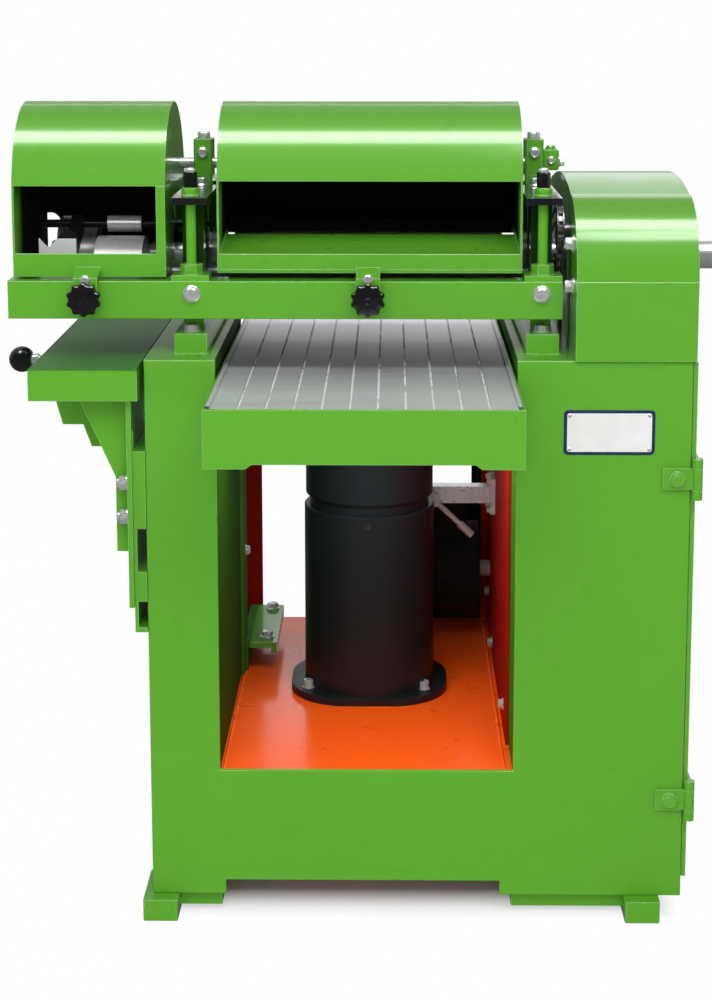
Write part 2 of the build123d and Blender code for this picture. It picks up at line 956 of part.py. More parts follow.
# Straps over the open slots, black studs on the front ones
with BuildPart() as top_straps:
    for side in (-1, 1):
        edges_x = (side * frame_center - strap_width / 2, side * frame_center + strap_width / 2)
        block(edges_x, (-bar_front, -strap_rear_y), (frame_top, strap_top))
        block(edges_x, (rear_strap_front, frame_rear_y), (frame_top, strap_top))
with BuildPart() as strap_studs:
    for side in (-1, 1):
        upright(side * frame_center, rod_y, [(strap_top, strap_top + bolt_washer, stud_washer_radius)])
        with BuildSketch(Plane.XY.offset(strap_top + bolt_washer)):
            with Locations((side * frame_center, rod_y)):
                RegularPolygon(stud_nut_flats / 2, 6, major_radius=False)
        extrude(amount=stud_nut)
        with BuildSketch(Plane.XY.offset(strap_top + bolt_washer + stud_nut)):
            with Locations((side * frame_center, rod_y)):
                RegularPolygon(stud_flats / 2, 6, major_radius=False)
        extrude(amount=stud_top)

# Pivot blocks and pins on which both hoods tip up
with BuildPart() as pivot_blocks:
    for side in (-1, 1):
        left = side * frame_center - pivot_block_width / 2
        block(
            (left, left + pivot_block_width),
            (hood_pivot_y - pivot_block_depth / 2, hood_pivot_y + pivot_block_depth / 2),
            (frame_top, pivot_block_top),
        )
        cut_across(hood_pivot_y, hood_pivot_level, hood_pivot_radius, left, left + pivot_block_width)
    chamfer(pivot_blocks.edges().filter_by(Axis.Z), frame_round)
with BuildPart() as pivot_pins:
    turned(hood_pivot_y, hood_pivot_level, [(-pivot_pin_left, -pivot_pin_inner, hood_pivot_radius)])
    turned(
        hood_pivot_y,
        hood_pivot_level,
        [(pivot_pin_inner, frame_center + pivot_block_width / 2, hood_pivot_radius)],
    )

# Hex bolts on the bar, the frame feet, the hinges and the pivot blocks, and
# the two clamp studs of the moulder slide with their washers and nuts
foot_bolt_front = (-bar_front + bar_rear) / 2
foot_bolt_rear = (frame_rear_y + frame_foot_rear_y) / 2
bolt_seats = []
for side in (-1, 1):
    bolt_seats.append(Plane((side * bar_bolt_x, -bar_front, bar_bolt_level), z_dir=(0, -1, 0)))
    bolt_seats.append(Plane((side * frame_center, foot_bolt_front, foot_top)))
    bolt_seats.append(Plane((side * frame_center, foot_bolt_rear, foot_top)))
    bolt_seats.append(Plane((side * frame_center, hood_pivot_y, pivot_block_top)))
for level in hinge_levels:
    leaf_middle = hinge_x - hinge_barrel_radius - hinge_leaf_width / 2
    bolt_seats.append(Plane((leaf_middle, hinge_y, level), z_dir=(0, -1, 0)))
slide_nut = knee_left - slide_gap - bolt_washer
for level in (slide_bolt_high, slide_bolt_low):
    bolt_seats.append(Plane((slide_nut, slide_bolt_y, level), z_dir=(-1, 0, 0)))
with BuildPart() as hex_bolts:
    for level in (slide_bolt_high, slide_bolt_low):
        turned(
            slide_bolt_y,
            level,
            [
                (slide_nut - bolt_head - slide_stud_end, slide_left, slide_slot / 2 - hole_gap),
                (slide_nut, slide_nut + bolt_washer, bolt_washer_radius),
            ],
        )
    for seat in bolt_seats:
        with BuildSketch(seat):
            RegularPolygon(bolt_flats / 2, 6, major_radius=False)
        extrude(amount=bolt_head)

# Spindle: moulder seat, two journals, cutter seat, pulley seat and bare end
with BuildPart() as spindle:
    turned(
        spindle_y,
        spindle_level,
        [
            (-spindle_left, -frame_center - frame_half, spindle_left_radius),
            (-frame_center - frame_half, arbor_shoulder, spindle_journal_radius),
            (-cutter_length / 2, cutter_length / 2, spindle_body_radius),
            (arbor_shoulder, spindle_right, arbor_radius),
        ],
    )
    with BuildSketch(Plane.YZ.offset(-spindle_left)):
        with Locations((spindle_y, spindle_level)):
            RegularPolygon(spindle_nut_flats / 2, 6, major_radius=False)
    extrude(amount=spindle_left - moulder_head_left)
    chamfer(spindle.edges().sort_by(Axis.X)[-1], plate_round)

# Planer cutter block with slots, and the knives in them
knife_bottom = cutter_radius + knife_proud - knife_depth
with BuildPart() as cutter_block:
    turned(spindle_y, spindle_level, [(-cutter_length / 2, cutter_length / 2, cutter_radius)])
    cut_across(spindle_y, spindle_level, spindle_body_radius, -cutter_length / 2, cutter_length / 2)
    with BuildSketch(Plane.YZ.offset(-cutter_length / 2)):
        with Locations((spindle_y, spindle_level)):
            with PolarLocations(knife_bottom + knife_depth / 2, knife_count):
                Rectangle(knife_depth, knife_thickness)
    extrude(amount=cutter_length, mode=Mode.SUBTRACT)
with BuildPart() as planer_knives:
    with BuildSketch(Plane.YZ.offset(-cutter_length / 2)):
        with Locations((spindle_y, spindle_level)):
            with PolarLocations(knife_bottom + knife_depth / 2, knife_count):
                Rectangle(knife_depth, knife_thickness)
    extrude(amount=cutter_length)

# Moulder head: one profile cutter with an ogee edge and four gullets
head_left = -moulder_head_left
head_right = head_left + moulder_head_width
head_crest = spindle_level + moulder_head_radius + moulder_profile
with BuildPart() as moulder_head:
    with BuildSketch(facing(spindle_y)):
        with BuildLine():
            Polyline(
                (head_right, spindle_level + moulder_head_radius),
                (head_right, spindle_level + spindle_left_radius),
                (head_left, spindle_level + spindle_left_radius),
                (head_left, head_crest),
                (head_left + moulder_head_width / 4, head_crest),
            )
            ThreePointArc(
                (head_left + moulder_head_width / 4, head_crest),
                (head_left + moulder_head_width / 2, head_crest - moulder_profile * 2 / 3),
                (head_right, spindle_level + moulder_head_radius),
            )
        make_face()
    revolve(axis=Axis((0, spindle_y, spindle_level), (1, 0, 0)))
    with BuildSketch(Plane.YZ.offset(head_left)):
        with Locations((spindle_y, spindle_level)):
            with PolarLocations(moulder_head_radius + moulder_profile, moulder_gullets):
                Circle(moulder_gullet_radius)
    extrude(amount=moulder_head_width, mode=Mode.SUBTRACT)


def feed_roller(y, left):
    """Adds one feed roller: journals through the frames and the roller drum."""
    turned(
        y,
        roller_level,
        [
            (-left, sprocket_left + sprocket_width, roller_journal_radius),
            (-roller_length / 2, roller_length / 2, roller_radius),
        ],
    )


with BuildPart() as infeed_roller:
    feed_roller(infeed_y, moulder_shaft_left)
with BuildPart() as outfeed_roller:
    feed_roller(outfeed_y, frame_center + frame_half + roller_stub)
with BuildPart() as moulder_roller:
    roller_left = -moulder_roller_right - moulder_roller_width
    turned(infeed_y, roller_level, [(roller_left, -moulder_roller_right, moulder_roller_radius)])
    cut_across(infeed_y, roller_level, roller_journal_radius, roller_left, -moulder_roller_right)

# Chip deflector: a bent plate behind the cutter block, bolted to both frames,
# with a cowl over the knives, and the notched back plate of the moulder hood
deflector_x = frame_center - frame_half - deflector_sheet / 2
back_plate_x = frame_center + frame_half + deflector_sheet / 2
cowl_level = spindle_level + cutter_radius + knife_proud + cowl_clearance + cowl_sheet / 2
with BuildPart() as chip_deflector:
    with BuildSketch(Plane.XY.offset(deflector_bottom)):
        with BuildLine():
            Polyline(
                (-deflector_x, deflector_y - deflector_wing),
                (-deflector_x, deflector_y),
                (deflector_x, deflector_y),
                (deflector_x, deflector_y - deflector_wing),
            )
        trace(line_width=deflector_sheet)
    extrude(amount=deflector_top - deflector_bottom)
    with BuildSketch(Plane.YZ.offset(-cowl_width / 2)):
        with BuildLine():
            Polyline(
                (deflector_y, cowl_level),
                (cowl_front, cowl_level),
                (cowl_front, cowl_level - cowl_lip),
            )
        trace(line_width=cowl_sheet)
    extrude(amount=cowl_width)
    with BuildSketch(Plane.XY.offset(back_plate_bottom)):
        with BuildLine():
            Polyline(
                (-back_plate_left, deflector_y),
                (-back_plate_x, deflector_y),
                (-back_plate_x, deflector_y - deflector_wing),
            )
        trace(line_width=deflector_sheet)
    extrude(amount=deflector_top - back_plate_bottom)
    for left, right in ((-brow_half, brow_half), (-back_plate_left, moulder_hood_right)):
        block(
            (left, right),
            (deflector_y - deflector_sheet / 2, deflector_y + deflector_sheet / 2),
            (deflector_top, brow_top),
        )
    notch_middle = -back_plate_notch_left + back_plate_notch / 2
    notch_spring = back_plate_notch_top - back_plate_notch / 2
    with BuildSketch(facing(deflector_y - deflector_sheet / 2)):
        with Locations((notch_middle, (back_plate_bottom + notch_spring) / 2)):
            Rectangle(back_plate_notch, notch_spring - back_plate_bottom)
        with Locations((notch_middle, notch_spring)):
            Circle(back_plate_notch / 2)
    extrude(amount=-deflector_sheet, mode=Mode.SUBTRACT)

# Pressure shaft across the moulder hood, with its spacer sleeve
with BuildPart() as pressure_shaft:
    turned(
        pressure_y,
        pressure_level,
        [
            (-pressure_rod_left, -frame_center + frame_half, pressure_rod_radius),
            (
                -pressure_sleeve_right - pressure_sleeve_width,
                -pressure_sleeve_right,
                pressure_sleeve_radius,
            ),
        ],
    )

# Pressure shoe: notched plate on an arm that swings on the pressure shaft
shoe_x = -shoe_left
arm_x = shoe_x + shoe_width - shoe_arm_width
with BuildPart() as pressure_shoe:
    with BuildSketch(facing(shoe_y)):
        with BuildLine():
            Polyline(
                (shoe_x, shoe_bottom),
                (shoe_x + shoe_width, shoe_bottom),
                (shoe_x + shoe_width, pressure_level - shoe_tooth / 2),
                (shoe_x + shoe_width - shoe_arm_width, pressure_level),
                (shoe_x + shoe_width / 2, pressure_level - shoe_tooth),
                (shoe_x + shoe_width / 4, pressure_level - shoe_tooth * 2),
                (shoe_x, pressure_level - shoe_tooth),
                close=True,
            )
        make_face()
    extrude(amount=-shoe_thickness)
    with BuildSketch(Plane.YZ.offset(arm_x)):
        with BuildLine():
            Polyline(
                (shoe_y, pressure_level - shoe_arm_width * 3),
                (pressure_y, pressure_level - shoe_arm_hub_radius),
                (pressure_y, pressure_level + shoe_arm_hub_radius),
                (shoe_y, pressure_level - shoe_arm_width),
                close=True,
            )
        make_face()
        with Locations((pressure_y, pressure_level)):
            Circle(shoe_arm_hub_radius)
    extrude(amount=shoe_arm_width)
    cut_across(
        pressure_y, pressure_level, pressure_rod_radius + run_gap, arm_x, arm_x + shoe_arm_width
    )


def hood_cheek(x, bottom, arch_y):
    """Adds one hood cheek: round top, notch over the roller, arch over the spindle."""
    arch_front = hood_pivot_level - sqrt(hood_arch_radius**2 - (arch_y - hood_pivot_y) ** 2)
    arch_rear = hood_pivot_level - sqrt(hood_arch_radius**2 - (hood_rear - hood_pivot_y) ** 2)
    notch_top = bottom + cheek_notch_rise
    with BuildSketch(Plane.YZ.offset(x)) as outline:
        with BuildLine():
            Line((hood_rear, arch_rear), (hood_rear, hood_center_level))
            ThreePointArc(
                (hood_rear, hood_center_level),
                (hood_center_y, hood_center_level + hood_radius),
                (-hood_front, hood_center_level),
            )
            Polyline(
                (-hood_front, hood_center_level),
                (-hood_front, bottom),
                (cheek_notch_y, bottom),
                (cheek_notch_y, notch_top),
                (arch_y, notch_top),
                (arch_y, arch_front),
            )
            ThreePointArc(
                (arch_y, arch_front),
                (hood_pivot_y, hood_pivot_level - hood_arch_radius),
                (hood_rear, arch_rear),
            )
        make_face()
        with Locations((hood_pivot_y, hood_pivot_level)):
            Circle(hood_pivot_radius + run_gap, mode=Mode.SUBTRACT)
    extrude(outline.sketch, amount=hood_sheet)


def closed_cheek(x, bottom):
    """Adds the outer cheek of the overhung hood: round top, closed down to its lower edge."""
    with BuildSketch(Plane.YZ.offset(x)) as outline:
        with Locations((hood_center_y, hood_center_level)):
            Circle(hood_radius)
        with Locations((hood_center_y, (bottom + hood_center_level) / 2)):
            Rectangle(2 * hood_radius, hood_center_level - bottom)
        with Locations((hood_pivot_y, hood_pivot_level)):
            Circle(hood_pivot_radius + run_gap, mode=Mode.SUBTRACT)
    extrude(outline.sketch, amount=hood_sheet)


def hood_wrap(left, right, edge):
    """Adds the curved sheet from the window's upper edge over the top to the rear edge."""
    front_angle = 180 - degrees(asin((edge - hood_center_level) / hood_radius))
    rear_angle = degrees(asin((hood_rear_edge - hood_center_level) / hood_radius))
    with BuildSketch(Plane.YZ.offset(left)) as outline:
        with BuildLine():
            CenterArc(
                (hood_center_y, hood_center_level),
                hood_radius - hood_sheet / 2,
                rear_angle,
                front_angle - rear_angle,
            )
        trace(line_width=hood_sheet)
    extrude(outline.sketch, amount=right - left)


def hood_rail(left, right, bottom):
    """Adds the front rail below the window with its turned-in bottom lip."""
    block((left, right), (-hood_front, -hood_front + hood_sheet), (bottom, hood_rail_top))
    block((left, right), (-hood_front, -hood_front + hood_rail_lip), (bottom, bottom + hood_sheet))


def hood_tab(x):
    """Adds the tab that reaches over the bar and carries the clamp knob."""
    with BuildSketch(Plane.YZ.offset(x - tab_width / 2)) as outline:
        with BuildLine():
            Polyline(
                (-hood_front, tab_top),
                (-hood_front, tab_top - tab_sheet),
                (tab_front + tab_sheet, bar_top + tab_gap - tab_sheet / 2),
                (tab_front + tab_sheet, tab_bottom),
                (tab_front, tab_bottom),
                (tab_front, bar_top + tab_gap),
                close=True,
            )
        make_face()
    extrude(outline.sketch, amount=tab_width)
    with BuildSketch(facing(tab_front)) as outline:
        with Locations((x, knob_level)):
            Circle(knob_stud_radius + run_gap)
    extrude(outline.sketch, amount=-tab_sheet, mode=Mode.SUBTRACT)


# Main hood over the planer head
with BuildPart() as main_hood:
    hood_cheek(main_left, main_hood_bottom, main_cheek_arch_y)
    hood_cheek(main_right - hood_sheet, main_hood_bottom, main_cheek_arch_y)
    hood_wrap(main_left, main_right, main_hood_edge)
    hood_rail(main_left, main_right, main_hood_bottom)
    with BuildSketch(Plane.YZ.offset(main_left)):
        with BuildLine():
            Polyline(
                (-hood_front, hood_rail_top),
                (-hood_front, hood_rail_top - hood_sheet),
                (shelf_rear_y, hood_rail_top - hood_sheet + shelf_rise),
                (shelf_rear_y, hood_rail_top + shelf_rise),
                close=True,
            )
        make_face()
    extrude(amount=main_hood_width)
    hood_tab(main_knob_x)

# Moulder hood, overhung on the left, with a jamb beside its window
with BuildPart() as moulder_hood:
    closed_cheek(-moulder_hood_left, moulder_hood_bottom)
    hood_cheek(moulder_hood_right - hood_sheet, moulder_hood_bottom, moulder_cheek_arch_y)
    hood_wrap(-moulder_hood_left, moulder_hood_right, moulder_hood_edge)
    hood_rail(-moulder_hood_left, moulder_hood_right, moulder_hood_bottom)
    block(
        (moulder_hood_right - jamb_width, moulder_hood_right),
        (-hood_front, -hood_front + hood_sheet),
        (hood_rail_top, moulder_hood_edge),
    )
    hood_tab(moulder_knob_x)
    with BuildSketch(Plane.YZ.offset(moulder_hood_right - hood_sheet)):
        with Locations((cheek_window_y, cheek_window_bottom)):
            with BuildLine():
                Polyline(
                    (cheek_window_width / 2, cheek_window_height / 2),
                    (cheek_window_width / 2, 0),
                    (-cheek_window_width / 2, 0),
                    (-cheek_window_width / 2, cheek_window_height / 2),
                )
                ThreePointArc(
                    (-cheek_window_width / 2, cheek_window_height / 2),
                    (0, cheek_window_height),
                    (cheek_window_width / 2, cheek_window_height / 2),
                )
            make_face()
    extrude(amount=hood_sheet, mode=Mode.SUBTRACT)


def star_knob(x):
    """Adds one scalloped clamp knob with its hub and screw."""
    face = facing(tab_front - slide_gap)
    with BuildSketch(face) as outline:
        with Locations((x, knob_level)):
            Circle(knob_hub_radius)
    extrude(outline.sketch, amount=knob_hub)
    with BuildSketch(face.offset(knob_hub)) as outline:
        with Locations((x, knob_level)):
            Circle(knob_radius)
            with PolarLocations(knob_radius + knob_scallop_radius - knob_scallop_depth, knob_scallops):
                Circle(knob_scallop_radius, mode=Mode.SUBTRACT)
    extrude(outline.sketch, amount=knob_thickness)
    with BuildSketch(face) as outline:
        with Locations((x, knob_level)):
            Circle(knob_stud_radius)
    extrude(outline.sketch, amount=-tab_sheet - tab_gap + slide_gap)


with BuildPart() as main_knob:
    star_knob(main_knob_x)
with BuildPart() as moulder_knob:
    star_knob(moulder_knob_x)

# Belt guard: folded sheet with rounded shoulders and a low crown, open below, slotted cheeks
guard_right = guard_left + guard_width
guard_rear = -guard_front + guard_depth
guard_top = column_top + guard_height
guard_spring = guard_top - guard_radius
with BuildPart() as belt_guard:
    with BuildSketch(Plane.YZ.offset(guard_left)):
        with BuildLine():
            Polyline(
                (-guard_front, guard_spring),
                (-guard_front, column_top),
                (guard_rear, column_top),
                (guard_rear, guard_spring),
            )
            RadiusArc((guard_rear, guard_spring), (guard_rear - guard_radius, guard_top), -guard_radius)
            ThreePointArc(
                (guard_rear - guard_radius, guard_top),
                ((guard_rear - guard_front) / 2, guard_top + guard_crown),
                (-guard_front + guard_radius, guard_top),
            )
            RadiusArc((-guard_front + guard_radius, guard_top), (-guard_front, guard_spring), -guard_radius)
        make_face()
    extrude(amount=guard_width)
    offset(amount=-guard_sheet, openings=[belt_guard.faces().sort_by(Axis.Z)[0]])
    for start, width in ((guard_left, guard_left_slot), (guard_right - guard_sheet, guard_right_slot)):
        cut_block(
            (start, start + guard_sheet),
            (spindle_y - width / 2, spindle_y + width / 2),
            (column_top, spindle_level),
        )
        cut_across(spindle_y, spindle_level, width / 2, start, start + guard_sheet)
    cut_across(feed_drive_y, feed_drive_level, feed_shaft_radius * 2, guard_left, guard_left + guard_sheet)
    cut_block(
        (guard_left, guard_left + guard_sheet),
        (feed_drive_y - feed_shaft_radius * 2, feed_drive_y + feed_shaft_radius * 2),
        (column_top, feed_drive_level),
    )


def grooved_pulley(y, level, radius, bore):
    """Adds a pulley with one groove for each belt."""
    turned(y, level, [(pulley_left, pulley_right, radius + belt_depth / 2)])
    for side in (-1, 1):
        middle = (pulley_left + pulley_right) / 2 + side * belt_pitch / 2
        half = belt_width / 2 + slide_gap
        with BuildSketch(Plane.YZ.offset(middle - half)) as outline:
            with Locations((y, level)):
                Circle(radius + belt_depth)
                Circle(radius - belt_depth / 2, mode=Mode.SUBTRACT)
        extrude(outline.sketch, amount=2 * half, mode=Mode.SUBTRACT)
    cut_across(y, level, bore, pulley_left, pulley_right)


with BuildPart() as spindle_pulley:
    grooved_pulley(spindle_y, spindle_level, spindle_pulley_radius, spindle_journal_radius)
with BuildPart() as motor_pulley:
    grooved_pulley(motor_y, motor_level, motor_pulley_radius, motor_shaft_radius)
with BuildPart() as drive_belts:
    for side in (-1, 1):
        middle = (pulley_left + pulley_right) / 2 + side * belt_pitch / 2
        with BuildSketch(Plane.YZ.offset(middle - belt_width / 2)):
            with Locations((spindle_y, spindle_level)):
                Circle(spindle_pulley_radius + belt_depth / 2 + slide_gap)
            with Locations((motor_y, motor_level)):
                Circle(motor_pulley_radius + belt_depth / 2 + slide_gap)
            make_hull()
            offset(amount=-belt_depth, mode=Mode.SUBTRACT)
        extrude(amount=belt_width)

# Main motor on the floor pan behind the column: finned barrel, two end bells,
# feet and a terminal box
with BuildPart() as motor_body:
    turned(
        motor_y,
        motor_level,
        [
            (-motor_left, motor_right, motor_radius),
            (-motor_left, -motor_left + motor_bell, motor_radius + motor_fin),
            (motor_right - motor_bell, motor_right, motor_radius + motor_fin),
        ],
    )
    with BuildSketch(Plane.YZ.offset(-motor_left)):
        with Locations((motor_y, motor_level)):
            with PolarLocations(motor_radius, motor_fin_count):
                Rectangle(motor_fin * 2, motor_fin_width)
    extrude(amount=motor_left + motor_right)
    block(
        (motor_bracket_left, motor_bracket_left + motor_bracket_width),
        (motor_y, rear_y),
        (motor_level - motor_bracket_height / 2, motor_level + motor_bracket_height / 2),
    )
    plate_right = opening_half - slide_gap
    plate_y = (rear_y, rear_y + motor_plate_sheet)
    block((motor_plate_left, plate_right), plate_y, (pan_top - motor_plate_drop, motor_plate_top))
    block((plate_right - motor_plate_ear, plate_right), plate_y, (motor_plate_top, motor_plate_ear_top))
    block(
        (motor_right - motor_bell - motor_box_length, motor_right - motor_bell),
        (motor_y - motor_box_width / 2, motor_y + motor_box_width / 2),
        (motor_level + motor_radius / 2, motor_level + motor_radius + motor_box_height),
    )
    cut_across(
        motor_y, motor_level, motor_shaft_radius + run_gap, motor_right - motor_bell, motor_right
    )
with BuildPart() as motor_shaft:
    turned(
        motor_y, motor_level, [(motor_right - motor_bell + slide_gap, pulley_right, motor_shaft_radius)]
    )


def sprocket(y, level, bore):
    """Adds a chain sprocket; its tooth gaps are the seats of the chain's rollers."""
    with BuildSketch(Plane.YZ.offset(sprocket_left)) as outline:
        with Locations((y, level)):
            Circle(sprocket_pitch_radius + sprocket_tip)
            Circle(bore, mode=Mode.SUBTRACT)
            with PolarLocations(sprocket_pitch_radius, sprocket_teeth):
                RegularPolygon(sprocket_roller_radius, 6, mode=Mode.SUBTRACT)
    extrude(outline.sketch, amount=sprocket_width)


with BuildPart() as infeed_sprocket:
    sprocket(infeed_y, roller_level, roller_journal_radius)
with BuildPart() as outfeed_sprocket:
    sprocket(outfeed_y, roller_level, roller_journal_radius)
with BuildPart() as drive_sprocket:
    sprocket(feed_drive_y, feed_drive_level, feed_shaft_radius)
    turned(
        feed_drive_y,
        feed_drive_level,
        [(sprocket_left, gear_case_left + gear_case_width / 2, feed_shaft_radius)],
    )

# Feed chain: two rows of link plates beside the sprockets, tied by the pins
# of its lower straight run
chain_wheels = ((infeed_y, roller_level), (outfeed_y, roller_level), (feed_drive_y, feed_drive_level))
with BuildPart() as feed_chain:
    for start in (sprocket_left - slide_gap - chain_plate, sprocket_left + sprocket_width + slide_gap):
        with BuildSketch(Plane.YZ.offset(start)):
            with Locations(*chain_wheels):
                Circle(sprocket_pitch_radius + chain_height / 2)
            make_hull()
            offset(amount=-chain_height, mode=Mode.SUBTRACT)
        extrude(amount=chain_plate)
    with BuildSketch(Plane.YZ.offset(sprocket_left - slide_gap - chain_plate)):
        pin_run = outfeed_y - infeed_y - 2 * sprocket_pitch_radius
        with Locations(((infeed_y + outfeed_y) / 2, roller_level - sprocket_pitch_radius)):
            with GridLocations(pin_run / chain_pins, 0, chain_pins, 1):
                RegularPolygon(chain_pin_radius, 6)
    extrude(amount=sprocket_width + 2 * (slide_gap + chain_plate))

# Feed gear motor standing on the cabinet inside the guard
gear_case_middle = gear_case_left + gear_case_width / 2
with BuildPart() as feed_gearmotor:
    block(
        (gear_case_left, gear_case_left + gear_case_width),
        (feed_drive_y - gear_case_size / 2, feed_drive_y + gear_case_size / 2),
        (feed_drive_level - gear_case_size / 2, feed_drive_level + gear_case_size / 2),
    )
    chamfer(feed_gearmotor.edges().filter_by(Axis.X), frame_round)
    upright(
        gear_case_middle,
        feed_drive_y,
        [
            (column_top + base_plate, feed_drive_level - gear_case_size / 2, feed_motor_radius - motor_fin),
            (column_top, column_top + base_plate, feed_motor_radius),
        ],
    )
    shaft_hole_end = gear_case_middle + slide_gap
    cut_across(feed_drive_y, feed_drive_level, feed_shaft_radius + run_gap, gear_case_left, shaft_hole_end)

# Moulder table: ribbed casting, open below, with a raised strip on its right
side_front = -side_table_front
side_rear = side_front + side_table_length
with BuildPart() as moulder_table:
    block(
        (-side_table_left, -side_table_right),
        (side_front, side_rear),
        (side_table_bottom, side_table_top),
    )
    cut_block(
        (-side_table_left + side_table_wall, -side_table_right - side_table_wall),
        (side_front + side_table_wall, side_rear - side_table_wall),
        (side_table_bottom, side_table_top - side_table_wall),
    )
    block(
        (-side_table_right - side_strip_width, -side_table_right),
        (side_front, side_rear),
        (side_table_top, side_table_top + side_strip_height),
    )
    for rib_y in (gusset_y, rear_gusset_y):
        block(
            (-side_table_left + side_table_wall, -side_table_right - side_table_wall),
            (rib_y, rib_y + gusset_thickness),
            (side_table_bottom, side_table_top - side_table_wall),
        )
    cut_across(
        ball_y, ball_level, ball_rod_radius + run_gap, -side_table_left, -side_table_left + side_table_wall
    )

# Knee: slotted slide plate with two gussets under the moulder table
gusset_left = knee_left - rear_gusset_reach
with BuildPart() as moulder_knee:
    block(
        (knee_left, knee_left + knee_plate),
        (-knee_plate_front, -knee_plate_rear),
        (knee_bottom, side_table_bottom),
    )
    slot_low = slide_bolt_low - side_travel_up - slide_slot
    slot_high = slide_bolt_high + side_travel_down + slide_slot
    cut_block(
        (knee_left, knee_left + knee_plate),
        (slide_bolt_y - slide_slot / 2, slide_bolt_y + slide_slot / 2),
        (slot_low, slot_high),
    )
    with BuildSketch(facing(gusset_y)):
        with BuildLine():
            Polyline(
                (knee_left, side_table_bottom),
                (knee_left - gusset_reach, side_table_bottom),
                (knee_left - gusset_strip, gusset_bend),
                (knee_left - gusset_strip, gusset_bottom),
                (knee_left, gusset_bottom),
                close=True,
            )
        make_face()
    extrude(amount=-gusset_thickness)
    with BuildSketch(facing(rear_gusset_y)):
        with BuildLine():
            Polyline(
                (knee_left, side_table_bottom),
                (gusset_left, side_table_bottom),
                (gusset_left + rear_gusset_slope, side_table_bottom - rear_gusset_drop),
                (gusset_left + rear_gusset_step, side_table_bottom - rear_gusset_drop),
                (
                    gusset_left + rear_gusset_step + rear_gusset_foot_slope,
                    side_table_bottom - rear_gusset_foot,
                ),
                (knee_left, side_table_bottom - rear_gusset_foot),
                close=True,
            )
        make_face()
    extrude(amount=-gusset_thickness)

# Slide rail on the left column: web with three cross blocks
with BuildPart() as slide_rail:
    with BuildSketch(facing(-slide_front)):
        with BuildLine():
            Polyline(
                (left_edge, slide_bottom),
                (left_edge, slide_top),
                (slide_left, slide_top),
                (slide_left, slide_bottom),
                close=True,
            )
        make_face()
        for low, high in (
            (slide_window_low, slide_window_low_top),
            (slide_window_high, slide_window_high_top),
        ):
            with Locations(((left_edge + slide_left + slide_wall) / 2, (low + high) / 2)):
                Rectangle(slide_width - slide_wall, high - low, mode=Mode.SUBTRACT)
    extrude(amount=-(slide_front - slide_rear))

# Ball handle: one turned piece, its rod in the moulder table's left edge
ball_neck = -ball_x + sqrt(ball_radius**2 - ball_rod_radius**2)
rod_end = -side_table_left + ball_rod_seat
with BuildPart() as ball_handle:
    with BuildSketch(facing(ball_y)):
        with BuildLine():
            ThreePointArc(
                (-ball_x - ball_radius, ball_level),
                (-ball_x, ball_level + ball_radius),
                (ball_neck, ball_level + ball_rod_radius),
            )
            Polyline(
                (ball_neck, ball_level + ball_rod_radius),
                (rod_end, ball_level + ball_rod_radius),
                (rod_end, ball_level),
                (-ball_x - ball_radius, ball_level),
            )
        make_face()
    revolve(axis=Axis((0, ball_y, ball_level), (1, 0, 0)))

pieces = {
    "front_plate": front_plate,
    "left_column": left_column,
    "cabinet_shell": cabinet_shell,
    "floor_pan": floor_pan,
    "rear_uprights": rear_uprights,
    "feet": feet,
    "sole_bars": sole_bars,
    "hinge_leaves": hinge_leaves,
    "cabinet_door": cabinet_door,
    "door_handle": door_handle,
    "lift_column": lift_column,
    "lift_ram": lift_ram,
    "lift_nut": lift_nut,
    "lift_screw": lift_screw,
    "column_stay": column_stay,
    "clamp_lever": clamp_lever,
    "guide_rail": guide_rail,
    "table_bed": table_bed,
    "table_plate": table_plate,
    "cross_bar": cross_bar,
    "left_frame": left_frame,
    "right_frame": right_frame,
    "spindle_bearings": spindle_bearings,
    "roller_blocks": roller_blocks,
    "spring_cups": spring_cups,
    "tie_rods": tie_rods,
    "top_straps": top_straps,
    "strap_studs": strap_studs,
    "pivot_blocks": pivot_blocks,
    "pivot_pins": pivot_pins,
    "hex_bolts": hex_bolts,
    "chip_deflector": chip_deflector,
    "spindle": spindle,
    "cutter_block": cutter_block,
    "planer_knives": planer_knives,
    "moulder_head": moulder_head,
    "infeed_roller": infeed_roller,
    "outfeed_roller": outfeed_roller,
    "moulder_roller": moulder_roller,
    "pressure_shaft": pressure_shaft,
    "pressure_shoe": pressure_shoe,
    "main_hood": main_hood,
    "moulder_hood": moulder_hood,
    "main_knob": main_knob,
    "moulder_knob": moulder_knob,
    "belt_guard": belt_guard,
    "spindle_pulley": spindle_pulley,
    "motor_pulley": motor_pulley,
    "drive_belts": drive_belts,
    "motor_body": motor_body,
    "motor_shaft": motor_shaft,
    "infeed_sprocket": infeed_sprocket,
    "outfeed_sprocket": outfeed_sprocket,
    "drive_sprocket": drive_sprocket,
    "feed_chain": feed_chain,
    "feed_gearmotor": feed_gearmotor,
    "moulder_table": moulder_table,
    "moulder_knee": moulder_knee,
    "slide_rail": slide_rail,
    "ball_handle": ball_handle,
}

os.makedirs("parts", exist_ok=True)
for name, piece in pieces.items():
    piece.part.label = name
    export_step(piece.part, f"parts/{name}.step")
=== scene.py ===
# %% [markdown]
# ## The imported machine
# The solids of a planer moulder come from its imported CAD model, in metres and in their places. They
# are loaded as a fixed frame: nothing in this lesson moves or reshapes them. It lights them, paints
# them and adds the small pieces that a solid model leaves out.

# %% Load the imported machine
import json
import math

import bmesh
import bpy
from mathutils import Matrix, Vector


